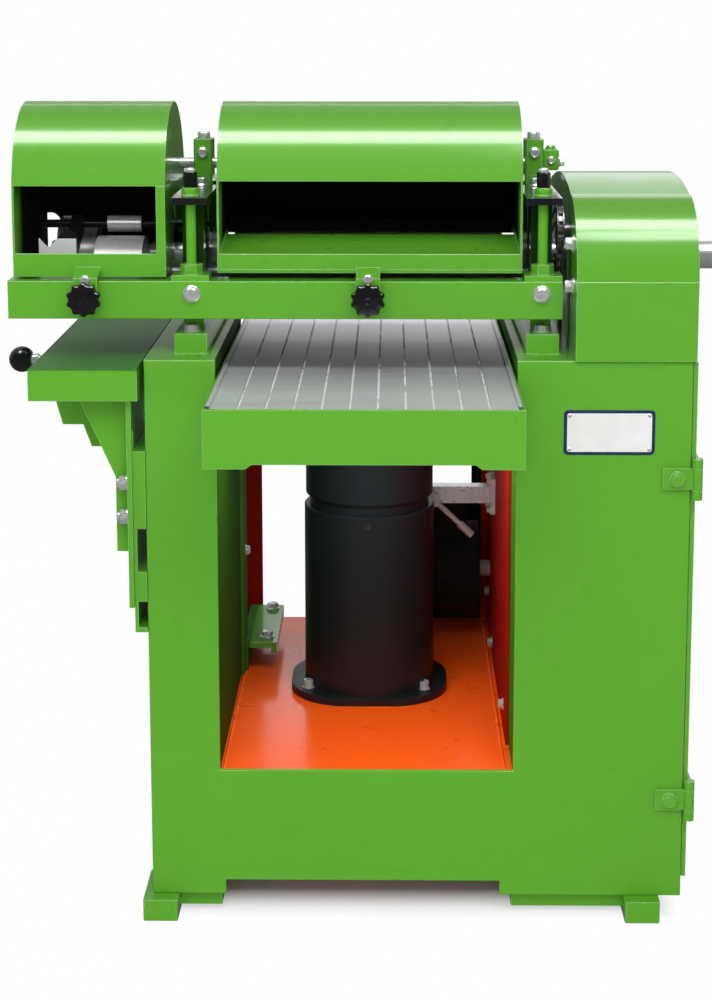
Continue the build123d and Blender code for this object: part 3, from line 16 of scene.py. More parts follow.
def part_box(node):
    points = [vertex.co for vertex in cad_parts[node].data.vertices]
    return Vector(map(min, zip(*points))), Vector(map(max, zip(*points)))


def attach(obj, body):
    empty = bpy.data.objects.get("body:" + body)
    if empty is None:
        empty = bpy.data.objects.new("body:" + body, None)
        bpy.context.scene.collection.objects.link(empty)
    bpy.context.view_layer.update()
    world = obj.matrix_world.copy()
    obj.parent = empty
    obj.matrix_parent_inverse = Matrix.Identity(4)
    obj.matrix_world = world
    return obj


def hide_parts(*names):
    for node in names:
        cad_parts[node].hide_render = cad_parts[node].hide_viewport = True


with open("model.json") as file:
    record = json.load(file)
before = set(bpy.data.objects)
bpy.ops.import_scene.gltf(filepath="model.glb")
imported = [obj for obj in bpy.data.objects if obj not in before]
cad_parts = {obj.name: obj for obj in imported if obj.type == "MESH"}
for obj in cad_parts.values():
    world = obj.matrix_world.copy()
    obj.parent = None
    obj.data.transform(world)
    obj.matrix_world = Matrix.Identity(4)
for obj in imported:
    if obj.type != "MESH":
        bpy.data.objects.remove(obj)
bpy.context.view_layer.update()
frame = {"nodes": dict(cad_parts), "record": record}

scene = bpy.context.scene
mm = 0.001

# %% [markdown]
# ## The camera
# The photograph was taken with a long lens from the infeed side, a little above the hoods and
# almost square to the front. A wide lens close by would also hold the whole machine, but the base
# would then taper towards the floor. A long lens with a small lens shift keeps its sides upright,
# as a product photographer does.

# %% Camera
camera_place = Vector((0.0357, -2.9131, 1.3161))
camera_down = math.radians(8.818)
camera_turn = math.radians(0.632)

lens = bpy.data.cameras.new("front_camera")
lens.lens = 69.2
lens.sensor_width = 36.0
lens.shift_x = -0.015
lens.shift_y = -0.20
camera = bpy.data.objects.new("front_camera", lens)
camera.location = camera_place
camera.rotation_euler = (math.pi / 2 - camera_down, 0, camera_turn)
scene.collection.objects.link(camera)
scene.camera = camera
scene.view_settings.view_transform = "Standard"
print("camera looks from", tuple(round(v, 2) for v in camera.location))

# %% [markdown]
# ## Studio light
# Bent, glossy sheet is recognised by the long pale band that a strip lamp leaves on it, while flat
# painted faces should show their own colour and no veil. One lamp can't do both: a strip bright
# enough for the band bleaches the paint around it. So the light is split. The strips are seen in
# reflections only: one nearly overhead draws the band where the sheet faces about 40 degrees
# upwards, with a short one beside it for the belt guard, and a thin one behind draws the line along
# the top of each hood. Two panels behind are mirrored in the guard's crown and in the ground table.
# Broad soft lamps, the main one high in front, give the diffuse light and are left out of the
# reflections. Small panels clipped under the table and in the hoods brighten what stands in shade,
# and one of them glints on the moulder's rollers.


# %% Lamps
def soft_lamp(name, place, target, width, height, power, mirrored=False):
    """Hangs a rectangular lamp facing a target; it shows in reflections only, or not in them."""
    data = bpy.data.lights.new(name, "AREA")
    data.shape = "RECTANGLE"
    data.size, data.size_y = width, height
    data.energy = power
    lamp = bpy.data.objects.new(name, data)
    lamp.location = place
    lamp.rotation_euler = (Vector(target) - Vector(place)).to_track_quat("-Z", "Y").to_euler()
    lamp.visible_glossy = mirrored
    lamp.visible_diffuse = not mirrored
    scene.collection.objects.link(lamp)


soft_lamp("overhead_strip", (0, -0.56, 2.87), (0, -0.19, 1.12), 2.6, 0.58, 108, mirrored=True)
soft_lamp("guard_strip", (0.70, -1.145, 2.68), (0.37, -0.26, 1.0), 0.55, 0.53, 17.6, mirrored=True)
soft_lamp("rear_strip", (-0.2, 2.7, 2.75), (0, -0.1, 1.15), 3.2, 0.12, 3.0, mirrored=True)
soft_lamp("guard_sheen", (0.75, 2.9, 2.0), (0.37, -0.05, 1.05), 0.6, 1.3, 2.6, mirrored=True)
soft_lamp("table_sheen", (0, 3.1, 1.34), (0, 0, 0.8), 0.78, 0.30, 1.1, mirrored=True)
soft_lamp("high_fill", (0.2, -2.4, 3.0), (0, 0, 0.8), 3.0, 1.4, 60)
soft_lamp("front_fill", (-0.7, -3.4, 1.9), (0, 0, 0.5), 2.8, 1.8, 20)
soft_lamp("low_fill", (0.2, -3.0, 0.75), (0, 0.1, 0.35), 1.6, 0.9, 8)
soft_lamp("left_fill", (-3.0, -0.8, 1.6), (0, 0, 0.6), 1.6, 2.0, 16)
soft_lamp("rear_fill", (0.6, 3.4, 2.0), (0, 0, 0.6), 2.6, 1.8, 34)
soft_lamp("tray_panel", (0, -0.20, 0.712), (0, -0.14, 0.22), 0.36, 0.10, 1.5)
soft_lamp("shelf_panel", (0.004, -0.168, 1.062), (0.004, -0.15, 0.97), 0.40, 0.045, 0.09)
soft_lamp("moulder_panel", (-0.395, -0.19, 1.052), (-0.39, -0.10, 0.95), 0.15, 0.03, 0.03)
soft_lamp("moulder_sheen", (-0.395, -0.19, 1.050), (-0.39, -0.10, 0.95), 0.15, 0.03, 0.05, mirrored=True)

# %% [markdown]
# ## The white backdrop
# The world is white wherever the camera looks. As a lamp it is dimmer, so the backdrop doesn't wash
# the paint out. Mirrors see it pale behind and above the machine and dark on the photographer's side
# and near the floor, as in a studio with the lights off behind the camera; that is why flat fronts
# and the cheeks seen at a slant keep a deep colour.


# %% World
def calc(tree, operation, first, second=0.0):
    """One Math node; its inputs are sockets or numbers."""
    step = tree.nodes.new("ShaderNodeMath")
    step.operation = operation
    for place, value in zip(step.inputs, (first, second)):
        if isinstance(value, (int, float)):
            place.default_value = value
        else:
            tree.links.new(value, place)
    return step.outputs[0]


def spread(tree, value, low, high, start=0.3, end=0.7):
    """Maps the range start to end of a value onto low to high, and holds it there."""
    span = tree.nodes.new("ShaderNodeMapRange")
    span.inputs["From Min"].default_value, span.inputs["From Max"].default_value = start, end
    span.inputs["To Min"].default_value, span.inputs["To Max"].default_value = low, high
    tree.links.new(value, span.inputs["Value"])
    return span.outputs["Result"]


def off_middle(tree, value, middle):
    """How far a value is from a middle, to either side."""
    return calc(tree, "ABSOLUTE", calc(tree, "SUBTRACT", value, middle))


def by_ray(tree, plain, mirrored, shown, share=None):
    """Mixes three shaders: for plain light, for mirrors, and for what the camera or glass sees.

    share, if given, is the part of the surface on which the camera's own shader holds.
    """
    path = tree.nodes.new("ShaderNodeLightPath")
    first, second = tree.nodes.new("ShaderNodeMixShader"), tree.nodes.new("ShaderNodeMixShader")
    tree.links.new(path.outputs["Is Glossy Ray"], first.inputs[0])
    tree.links.new(plain, first.inputs[1])
    tree.links.new(mirrored, first.inputs[2])
    seen, through = path.outputs["Is Camera Ray"], path.outputs["Is Transmission Ray"]
    direct = calc(tree, "MAXIMUM", seen, through)
    if share is not None:
        direct = calc(tree, "MULTIPLY", direct, share)
    tree.links.new(direct, second.inputs[0])
    tree.links.new(first.outputs[0], second.inputs[1])
    tree.links.new(shown, second.inputs[2])
    return second.outputs[0]


world = bpy.data.worlds.new("white_studio")
world.use_nodes = True
scene.world = world
sky = world.node_tree
lit = sky.nodes["Background"]
mirrored, shown = sky.nodes.new("ShaderNodeBackground"), sky.nodes.new("ShaderNodeBackground")
for light in (lit, mirrored, shown):
    light.inputs["Color"].default_value = (1, 1, 1, 1)
lit.inputs["Strength"].default_value = 0.36
shown.inputs["Strength"].default_value = 1.0
heading = sky.nodes.new("ShaderNodeSeparateXYZ")
sky.links.new(sky.nodes.new("ShaderNodeTexCoord").outputs["Generated"], heading.inputs[0])
behind = spread(sky, heading.outputs["Y"], 0.06, 0.5, -0.35, 0.25)
above = spread(sky, heading.outputs["Z"], 0.12, 1.0, -0.02, 0.06)
sky.links.new(calc(sky, "MULTIPLY", behind, above), mirrored.inputs["Strength"])
backdrop = by_ray(sky, lit.outputs[0], mirrored.outputs[0], shown.outputs[0])
sky.links.new(backdrop, sky.nodes["World Output"].inputs["Surface"])
print("world strength", lit.inputs["Strength"].default_value, "as a lamp")

# %% [markdown]
# ## Floor
# The machine stands on a white studio floor that shows only a soft shadow under the base. A diffuse
# white plane would read grey beside the white backdrop and would show a horizon. So the floor is
# a diffuse white that takes the shadow under the machine, and turns into a plain white glow within
# a hand's width of its edge. Mirrors see it dim, like the lower part of the backdrop.

# %% Floor
floor_half = 9.0
shadow_box = (("X", 0.07, 0.385), ("Y", 0.07, 0.355))
fade_start, fade_end = -0.088, 0.005
mirror_glow = 0.16
floor_mesh = bpy.data.meshes.new("studio_floor")
floor_mesh.from_pydata(
    [(x * floor_half, y * floor_half, 0) for x, y in ((-1, -1), (1, -1), (1, 1), (-1, 1))],
    [],
    [(0, 1, 2, 3)],
)
floor = bpy.data.objects.new("studio_floor", floor_mesh)
scene.collection.objects.link(floor)

floor_white = bpy.data.materials.new("studio_white")
floor_white.use_nodes = True
tree = floor_white.node_tree
paper = tree.nodes["Principled BSDF"]
paper.inputs["Base Color"].default_value = (0.90, 0.90, 0.90, 1)
paper.inputs["Roughness"].default_value = 0.8
paper.inputs["Specular IOR Level"].default_value = 0.1
glow, reflected = tree.nodes.new("ShaderNodeEmission"), tree.nodes.new("ShaderNodeEmission")
spot = tree.nodes.new("ShaderNodeSeparateXYZ")
tree.links.new(tree.nodes.new("ShaderNodeTexCoord").outputs["Object"], spot.inputs[0])
edges = []
for axis, middle, half in shadow_box:
    edges.append(calc(tree, "SUBTRACT", off_middle(tree, spot.outputs[axis], middle), half))
outside = spread(tree, calc(tree, "MAXIMUM", *edges), 0.0, 1.0, fade_start, fade_end)
tree.links.new(spread(tree, outside, 0.0, mirror_glow, 0.0, 1.0), reflected.inputs["Strength"])
tree.links.new(
    by_ray(tree, paper.outputs[0], reflected.outputs[0], glow.outputs[0], outside),
    tree.nodes["Material Output"].inputs["Surface"],
)
floor_mesh.materials.append(floor_white)
print("floor", 2 * floor_half, "m square")

# %% [markdown]
# ## Finishes: the tools
# Every finish starts from one Principled shader and a few procedural patterns read in the
# machine's own coordinates, so a pattern stays where it is when a hood tips up. A few small tools
# are shared: a point's coordinates, a noise that can be stretched into grinding marks, a mix of two
# colours and a normal with rounded edges. Sharp sheet edges would show no highlight at all, and
# bevelling every solid would be heavy, so the Bevel node only rounds the shading.

# %% Finish tools
bevel_samples = 4
edge_turn = (0.80, 0.98)


def new_finish(name):
    """An empty material with its node tree and its shader."""
    finish = bpy.data.materials.new(name)
    finish.use_nodes = True
    return finish, finish.node_tree, finish.node_tree.nodes["Principled BSDF"]


def axes(tree):
    """The X, Y and Z sockets of a point in the machine's coordinates."""
    where = tree.nodes.new("ShaderNodeSeparateXYZ")
    tree.links.new(tree.nodes.new("ShaderNodeTexCoord").outputs["Object"], where.inputs[0])
    return where.outputs


def pattern(tree, scale, detail=2.0, stretch=(1, 1, 1)):
    """A noise from 0 to 1 in the machine's coordinates; stretch makes it finer along an axis."""
    where = tree.nodes.new("ShaderNodeTexCoord")
    squeeze = tree.nodes.new("ShaderNodeMapping")
    squeeze.inputs["Scale"].default_value = stretch
    noise = tree.nodes.new("ShaderNodeTexNoise")
    noise.inputs["Scale"].default_value = scale
    noise.inputs["Detail"].default_value = detail
    tree.links.new(where.outputs["Object"], squeeze.inputs["Vector"])
    tree.links.new(squeeze.outputs[0], noise.inputs["Vector"])
    return noise.outputs["Fac"]


def tint(tree, factor, first, second):
    """Mixes two colours, each a colour or a socket, by a factor socket."""
    mix = tree.nodes.new("ShaderNodeMix")
    mix.data_type = "RGBA"
    for socket, colour in ((mix.inputs["A"], first), (mix.inputs["B"], second)):
        if isinstance(colour, tuple):
            socket.default_value = (*colour, 1)
        else:
            tree.links.new(colour, socket)
    tree.links.new(factor, mix.inputs["Factor"])
    return mix.outputs["Result"]


def round_edges(tree, radius, height, strength, depth):
    """A normal with rounded edges that carries a fine height pattern, and the plain rounded one."""
    bevel = tree.nodes.new("ShaderNodeBevel")
    bevel.samples = bevel_samples
    bevel.inputs["Radius"].default_value = radius
    bump = tree.nodes.new("ShaderNodeBump")
    bump.inputs["Strength"].default_value = strength
    bump.inputs["Distance"].default_value = depth
    tree.links.new(height, bump.inputs["Height"])
    tree.links.new(bevel.outputs[0], bump.inputs["Normal"])
    return bump.outputs[0], bevel.outputs[0]


def near_edge(tree, rounded):
    """A factor that rises along sharp edges, where the rounded normal leaves the true one."""
    true_one = tree.nodes.new("ShaderNodeNewGeometry")
    agree = tree.nodes.new("ShaderNodeVectorMath")
    agree.operation = "DOT_PRODUCT"
    tree.links.new(rounded, agree.inputs[0])
    tree.links.new(true_one.outputs["Normal"], agree.inputs[1])
    return spread(tree, agree.outputs["Value"], 1.0, 0.0, *edge_turn)


def plug(tree, shader, colour, rough, normal):
    """Connects the sockets of a finish to its shader."""
    for name, value in (("Base Color", colour), ("Roughness", rough), ("Normal", normal)):
        tree.links.new(value, shader.inputs[name])


print("finish tools ready")

# %% [markdown]
# ## Paint
# The machine wears three enamels: a bright mid green outside, orange inside the base and satin
# black on the lifting column. Sprayed enamel is never one even colour: it pools a little and has a
# fine orange-peel skin. Along sharp edges the colour is paler, a painted highlight. One function
# mixes all the paints; only colour, gloss and skin differ. What is folded inside the base has a
# dull coat that scatters the light, and its green and red are painted darker as painted shade; the
# inside of the head is painted near black as painted shade.

# %% Enamels
sheet_edge, skin_depth = 1.8 * mm, 0.25 * mm
skin_scale, pool_scale, gloss_scale = 140, 4.0, 24
coat_roughness = 0.14


def enamel(name, colour, pooled, edge, gloss=(0.27, 0.30), coat=0.5, skin=0.03, specular=0.12, shade=None):
    """Sprayed paint: pooled colour, orange-peel skin, a painted highlight along edges and, if asked, a dull
    part in painted shade.

    shade is a recipe for the factor that is 1 on that part, its colour and its roughness.
    """
    finish, tree, shader = new_finish(name)
    skin_noise = pattern(tree, skin_scale, 0.0)
    normal, rounded = round_edges(tree, sheet_edge, skin_noise, skin, skin_depth)
    pools = spread(tree, pattern(tree, pool_scale, 1.0), 0.0, 1.0, 0.2, 0.8)
    body = tint(tree, pools, pooled, colour)
    # painted highlight: sharp edges get a paler colour
    body = tint(tree, near_edge(tree, rounded), body, edge)
    rough = spread(tree, pattern(tree, gloss_scale, 3.0), *gloss)
    shader.inputs["Coat Weight"].default_value = coat
    shader.inputs["Coat Roughness"].default_value = coat_roughness
    shader.inputs["Specular IOR Level"].default_value = specular
    if shade:
        recipe, dark, dull = shade
        inside = recipe(tree)
        body = tint(tree, inside, body, dark)
        rough = calc(tree, "MAXIMUM", rough, spread(tree, inside, 0.2, dull, 0.0, 0.6))
        tree.links.new(spread(tree, inside, coat, 0.0, 0.0, 0.5), shader.inputs["Coat Weight"])
    plug(tree, shader, body, rough, normal)
    return finish


# the edge colour is a painted highlight along sharp edges
edge_highlight_green = (0.46, 0.74, 0.34)
leaf_green = ((0.108, 0.380, 0.025), (0.105, 0.372, 0.024), edge_highlight_green)
green = enamel("green_enamel", *leaf_green)
orange = enamel("orange_enamel", (1.0, 0.115, 0.008), (0.96, 0.105, 0.007), (1.0, 0.20, 0.04), coat=0.4)
# the rear uprights' red is painted dark as painted shade inside the base, on a dull coat
shaded_inner_red = enamel(
    "dull_shaded_inner_red", (0.34, 0.007, 0.001), (0.30, 0.006, 0.001), (0.50, 0.02, 0.004),
    gloss=(0.62, 0.75), coat=0.0, skin=0.06, specular=0.15,
)
black = enamel(
    "satin_black_enamel", (0.009, 0.011, 0.013), (0.008, 0.010, 0.012), (0.024, 0.026, 0.028),
    gloss=(0.34, 0.44), coat=0.0, skin=0.08, specular=0.35,
)
strap_black = enamel(
    "gloss_black_enamel", (0.010, 0.010, 0.011), (0.008, 0.008, 0.009), (0.05, 0.05, 0.05),
    gloss=(0.16, 0.24), coat=1.0, skin=0.06,
)
motor_black = enamel(
    "motor_black_enamel", (0.005, 0.005, 0.006), (0.004, 0.004, 0.004), (0.012, 0.012, 0.012),
    gloss=(0.60, 0.72), coat=0.0, skin=0.25, specular=0.25,
)
# near-black painted shade for the plate behind the cutter inside the main hood
painted_shade_black = enamel(
    "painted_shade_inside", (0.0016, 0.0022, 0.0014), (0.0010, 0.0014, 0.0009), (0.004, 0.005, 0.004),
    gloss=(0.88, 0.95), coat=0.0, skin=0.10, specular=0.05,
)
print("enamels", [m.name for m in (green, orange, shaded_inner_red, black, strap_black, motor_black, painted_shade_black)])

# %% [markdown]
# ## The hoods' dark inside
# The chip hoods are green outside and near black inside: little light gets in, so the inside is
# painted shade on a rough coat. A second shell inside each hood would need its own edges, so the
# paint itself finds the inside: it knows the hood's drum, its cheeks and its shelf in the hood's
# own coordinates, and the painted shade fades to black over a hand's width behind the front edge.

# %% Hood paint
drum_y, drum_z, drum_inner = -0.083, 1.040, 0.1305
hood_front, window_y, fade_depth = -0.215, -0.2135, 0.060
cheek = 1.5 * mm
# near-black painted shade for the inside of each hood
hood_painted_shade = (0.0012, 0.0024, 0.0008)


def hood_inside(middle, half_width, floor_z, floor_slope):
    """Returns a recipe for the factor that is 1 inside one hood, above its floor, and 0 outside."""

    def recipe(tree):
        x, y, z = axes(tree)
        between = calc(tree, "LESS_THAN", off_middle(tree, x, middle), half_width - cheek)
        away_y = calc(tree, "POWER", calc(tree, "SUBTRACT", y, drum_y), 2.0)
        away_z = calc(tree, "POWER", calc(tree, "SUBTRACT", z, drum_z), 2.0)
        away = calc(tree, "SQRT", calc(tree, "ADD", away_y, away_z))
        drum = calc(tree, "LESS_THAN", away, drum_inner)
        within = calc(tree, "MAXIMUM", drum, calc(tree, "LESS_THAN", z, drum_z))
        rise = calc(tree, "MULTIPLY", calc(tree, "SUBTRACT", y, hood_front), floor_slope)
        above = calc(tree, "GREATER_THAN", calc(tree, "SUBTRACT", z, rise), floor_z)
        deep = spread(tree, y, 0.0, 1.0, window_y, window_y + fade_depth)
        enclosed = calc(tree, "MULTIPLY", between, within)
        return calc(tree, "MULTIPLY", calc(tree, "MULTIPLY", enclosed, above), deep)

    return recipe


def hood_enamel(node, floor_z, floor_slope):
    """The green paint with a near-black inside of painted shade, fitted to one hood's own box."""
    low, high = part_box(node)
    inside = hood_inside((low.x + high.x) / 2, (high.x - low.x) / 2, floor_z, floor_slope)
    return enamel(node + "_enamel", *leaf_green, shade=(inside, hood_painted_shade, 0.95))


main_hood_green = hood_enamel("main_hood", floor_z=0.970, floor_slope=14 / 123)
moulder_hood_green = hood_enamel("moulder_hood", floor_z=0.900, floor_slope=0)
print("hood paints", main_hood_green.name, moulder_hood_green.name)

# %% [markdown]
# ## One-sided finishes
# A few painted solids change their look at a flat border, and the darker side is painted shade:
# the two hollow legs of the base are glossy outside and dull and darker towards the opening, the
# guide rail is dull and darker against the wall and glossy on its foot, the moulder table's top is
# darker, and the frames' front edges are dark behind the tie rods, above the bar, in the head's
# shade. As for the hoods, the paint finds the border itself, so the solids stay whole.

# %% Split paints
inner_face, guide_wall = 212.2 * mm, -197 * mm
# level above which the moulder table's top gets painted shade
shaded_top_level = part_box("moulder_table")[1].z - 4 * mm
frame_front, bar_level = -184 * mm, 870 * mm


def beyond(axis, edge, way):
    """Returns a recipe for the factor that is 1 on one side of a plane across an axis."""
    return lambda tree: calc(tree, way, axes(tree)[axis], edge)


def shaded_edge(tree):
    """1 on the frame plates' front edge above the bar, which stands in the head's shade."""
    _, y, z = axes(tree)
    ahead = calc(tree, "LESS_THAN", y, frame_front)
    return calc(tree, "MULTIPLY", ahead, calc(tree, "GREATER_THAN", z, bar_level))


# the legs' faces towards the opening are painted darker green as painted shade
left_leg_green = enamel(
    "left_leg_enamel", *leaf_green, coat=0.1, specular=0.15,
    shade=(beyond("X", -inner_face, "GREATER_THAN"), (0.016, 0.058, 0.001), 0.75),
)
right_leg_green = enamel(
    "right_leg_enamel", *leaf_green, coat=0.1, specular=0.15,
    shade=(beyond("X", inner_face, "LESS_THAN"), (0.036, 0.180, 0.004), 0.75),
)
# the rail's side against the wall is painted darker green as painted shade
guide_green = enamel(
    "guide_enamel", (0.070, 0.270, 0.030), (0.066, 0.260, 0.028), edge_highlight_green,
    shade=(beyond("X", guide_wall, "LESS_THAN"), (0.034, 0.112, 0.005), 0.7),
)
# the moulder table's top is painted darker green as painted shade
side_table_green = enamel(
    "side_table_enamel", *leaf_green, specular=0.15,
    shade=(beyond("Z", shaded_top_level, "GREATER_THAN"), (0.043, 0.210, 0.022), 0.42),
)
# the frames' front edges above the bar are painted near black green as painted shade
frame_green = enamel("frame_enamel", *leaf_green, shade=(shaded_edge, (0.010, 0.034, 0.004), 0.8))
split_paints = (left_leg_green, right_leg_green, guide_green, side_table_green, frame_green)
print("split paints", [m.name for m in split_paints])

# %% [markdown]
# ## Bare metal, plastic and rubber
# Bolts are zinc plated, rollers and shafts are turned, chain and sprockets are oiled and dark. All
# of these are the same metal shader with other marks, so one function makes them, and the stretch
# of its pattern gives the direction of the tool marks. Plated and turned faces are dulled by fine
# scratches and oil, which scatter some light like paint, so they aren't fully metallic. In the
# moulder hood only the sleeve and the shoe's foot keep their bright steel; the rest is painted near
# black as painted shade.

# %% Metals
metal_edge, mark_depth = 0.8 * mm, 0.1 * mm
patch_scale = 9
# near-black painted shade for metal deep in the moulder hood
metal_painted_shade = (0.006, 0.008, 0.006)


def bare_metal(name, bright, dull, gloss, sheen, marks=(1, 1, 1), mark_scale=300, depth=0.01, shaded=None):
    """Metal with tool marks along one direction and dull patches; sheen is how metallic it shines.

    The last argument is a recipe for the factor that is 1 where the metal gets painted shade, near black.
    """
    finish, tree, shader = new_finish(name)
    lines = pattern(tree, mark_scale, 3.0, marks)
    normal, rounded = round_edges(tree, metal_edge, lines, depth, mark_depth)
    patches = spread(tree, pattern(tree, patch_scale, 4.0), 0.0, 1.0)
    body = tint(tree, patches, dull, bright)
    body = tint(tree, spread(tree, lines, 0.0, 0.15), body, bright)
    if shaded:
        # painted shade: metal deep in the hood is tinted near black
        body = tint(tree, shaded(tree), body, metal_painted_shade)
    plug(tree, shader, body, spread(tree, lines, *gloss), normal if depth else rounded)
    shader.inputs["Metallic"].default_value = sheen
    return finish


zinc = bare_metal(
    "zinc_plate", (0.74, 0.75, 0.77), (0.66, 0.66, 0.66), (0.26, 0.30), 0.65, mark_scale=60, depth=0
)
lathe = {"marks": (8, 0.3, 0.3), "mark_scale": 160, "depth": 0.015}
steel_tones = ((0.60, 0.60, 0.61), (0.50, 0.50, 0.51), (0.26, 0.36), 0.6)
turned_steel = bare_metal("turned_steel", *steel_tones, **lathe)
dark_steel = bare_metal("oiled_dark_steel", (0.22, 0.22, 0.23), (0.11, 0.11, 0.115), (0.32, 0.5), 0.9)
print("metals", [m.name for m in (zinc, turned_steel, dark_steel)])

# %% Metals with painted shade
sleeve_middle, sleeve_half = -359 * mm, 25.1 * mm
shoe_back, shoe_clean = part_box("pressure_shoe")[0].y + 6.2 * mm, 978 * mm


def off_sleeve(tree):
    """1 on the pressure shaft's rod and 0 on the sleeve around it."""
    across = off_middle(tree, axes(tree)["X"], sleeve_middle)
    return calc(tree, "GREATER_THAN", across, sleeve_half)


def off_foot(tree):
    """1 on the pressure shoe's arm and tips, which get painted shade, and 0 on its bright foot."""
    _, y, z = axes(tree)
    behind = calc(tree, "GREATER_THAN", y, shoe_back)
    return calc(tree, "MAXIMUM", behind, calc(tree, "GREATER_THAN", z, shoe_clean))


shaft_steel = bare_metal("pressure_shaft_steel", *steel_tones, **lathe, shaded=off_sleeve)
shoe_tones = ((0.80, 0.80, 0.82), (0.70, 0.70, 0.71), (0.36, 0.46), 0.3)
shoe_steel = bare_metal("pressure_shoe_steel", *shoe_tones, **lathe, shaded=off_foot)
print("oiled metals", shaft_steel.name, shoe_steel.name)

# %% Plastic and rubber
moulded_edge, grain_depth = 0.7 * mm, 0.3 * mm
worn_scale = 40


def moulded(name, colour, worn, gloss, grain, depth):
    """Plastic, rubber or lacquer: even colour, fine grain, duller worn places."""
    finish, tree, shader = new_finish(name)
    grain_noise = pattern(tree, grain)
    normal, _ = round_edges(tree, moulded_edge, grain_noise, depth, grain_depth)
    patches = spread(tree, pattern(tree, worn_scale, 3.0), 0.0, 1.0)
    body = tint(tree, patches, colour, worn)
    plug(tree, shader, body, spread(tree, grain_noise, *gloss), normal)
    return finish


knob_black = moulded(
    "black_knob_plastic", (0.004, 0.004, 0.005), (0.007, 0.007, 0.008), (0.16, 0.28), 900, 0.06
)
rubber = moulded("belt_rubber", (0.010, 0.010, 0.010), (0.022, 0.022, 0.021), (0.62, 0.85), 700, 0.35)
print("moulded finishes", knob_black.name, rubber.name)

# %% [markdown]
# ## The ground table
# The thickness table is the face that the stock slides on. It is ground across its width, so fine
# lines run from side to side. Stock has polished it in long patches. Its far part is painted
# lighter as a painted reflection, its near part as painted light, and the strip under the bar stays
# darker, as painted shade. Ten narrow grooves let the air out; dust has packed in them and reads
# pale. One material finds the grooves by their depth below the ground face, so no extra strips are
# needed.

# %% Table plate
groove_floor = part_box("table_plate")[0].z + 9.6 * mm
far_reflection_span, near_light_span = (-0.08, 0.16), (-0.42, -0.26)
grind_scale, grind_stretch, grind_depth = 150, (0.10, 6, 1), 0.2 * mm
rub_scale, rub_stretch, dust_scale = 3.2, (2.2, 0.7, 1), 22
dull_steel, rubbed_steel = (0.17, 0.17, 0.178), (0.25, 0.252, 0.265)
painted_light_steel, mark_glint, groove_dust = (0.66, 0.665, 0.69), (0.62, 0.625, 0.65), (0.86, 0.86, 0.84)

ground_steel, tree, shader = new_finish("ground_steel")
marks = pattern(tree, grind_scale, 4.0, grind_stretch)
normal, _ = round_edges(tree, 0.6 * mm, marks, 0.06, grind_depth)
_, along, level = axes(tree)
rubbed = spread(tree, pattern(tree, rub_scale, 4.0, rub_stretch), 0.0, 1.0)
face = tint(tree, rubbed, dull_steel, rubbed_steel)
# painted reflection on the far part, painted light on the near part; the strip under the bar keeps the
# darker steel as painted shade
painted_far_reflection = spread(tree, along, 0.0, 1.0, *far_reflection_span)
painted_near_light = spread(tree, along, 0.5, 0.0, *near_light_span)
face = tint(tree, calc(tree, "MAXIMUM", painted_far_reflection, painted_near_light), face, painted_light_steel)
face = tint(tree, spread(tree, marks, 0.0, 0.3), face, mark_glint)
sunk = calc(tree, "LESS_THAN", level, groove_floor)
packed = spread(tree, pattern(tree, dust_scale), 0.25, 1.0, 0.38, 0.5)
dusty = calc(tree, "MULTIPLY", sunk, packed)
rough = calc(tree, "MAXIMUM", spread(tree, marks, 0.42, 0.56), dusty)
plug(tree, shader, tint(tree, dusty, face, groove_dust), rough, normal)
tree.links.new(calc(tree, "SUBTRACT", 1.0, dusty), shader.inputs["Metallic"])
print("grooves below", round(groove_floor, 4), "m are dusty")

# %% [markdown]
# ## Dressing the solids
# The record names a finish slot for every solid. Each slot gets its material here, and a few solids
# get the finish of their own that was mixed above.

# %% Slot finishes
slot_finish = {
    "green_paint": green,
    "orange_paint": orange,
    "black_paint": black,
    "motor_paint": motor_black,
    "ground_steel": turned_steel,
    "dark_steel": dark_steel,
    "zinc": zinc,
    "black_plastic": knob_black,
    "belt_rubber": rubber,
}
own_finish = {
    "main_hood": main_hood_green,
    "moulder_hood": moulder_hood_green,
    "table_plate": ground_steel,
    "left_column": left_leg_green,
    "cabinet_shell": right_leg_green,
    "moulder_table": side_table_green,
    "guide_rail": guide_green,
    "clamp_lever": turned_steel,
    "pressure_shaft": shaft_steel,
    "pressure_shoe": shoe_steel,
    "rear_uprights": shaded_inner_red,
    "sole_bars": green,
    "chip_deflector": painted_shade_black,
    "top_straps": strap_black,
    "infeed_roller": dark_steel,
    "outfeed_roller": dark_steel,
    "left_frame": frame_green,
    "right_frame": frame_green,
}

for entry in frame["record"]["subparts"]:
    finish = own_finish.get(entry["node"], slot_finish[entry["material_slot"]])
    for place in frame["nodes"][entry["node"]].material_slots:
        place.material = finish
print("dressed", len(frame["nodes"]), "solids")

# %% [markdown]
# ## Small pieces: the tools
# Bolts, knobs, studs and caps are all turned or have a repeating outline, so they are skinned from
# stacked rings. A ring is a list of radii: equal ones make a circle, others a hexagon or a scalloped
# knob. A local frame puts the stack on its seat and lets every size be written in millimetres.

# %% Piece tools
upward, forward, leftward, rightward = (0, 0, 1), (0, -1, 0), (-1, 0, 0), (1, 0, 0)
sharp_angle = math.radians(38)


def seat(place, facing):
    """A local frame in millimetres at a place, whose z axis points along a direction."""
    turn = Vector(facing).to_track_quat("Z", "Y").to_matrix().to_4x4()
    return Matrix.Translation(Vector(place) * mm) @ turn @ Matrix.Scale(mm, 4)


def disc(radius, count=36):
    """The radii of a round ring."""
    return [radius] * count


def hexagon(flats, count=36):
    """The radii of a hexagon, by its width across flats."""
    sixth = math.tau / 6
    return [flats / 2 / math.cos((math.tau * i / count) % sixth - sixth / 2) for i in range(count)]


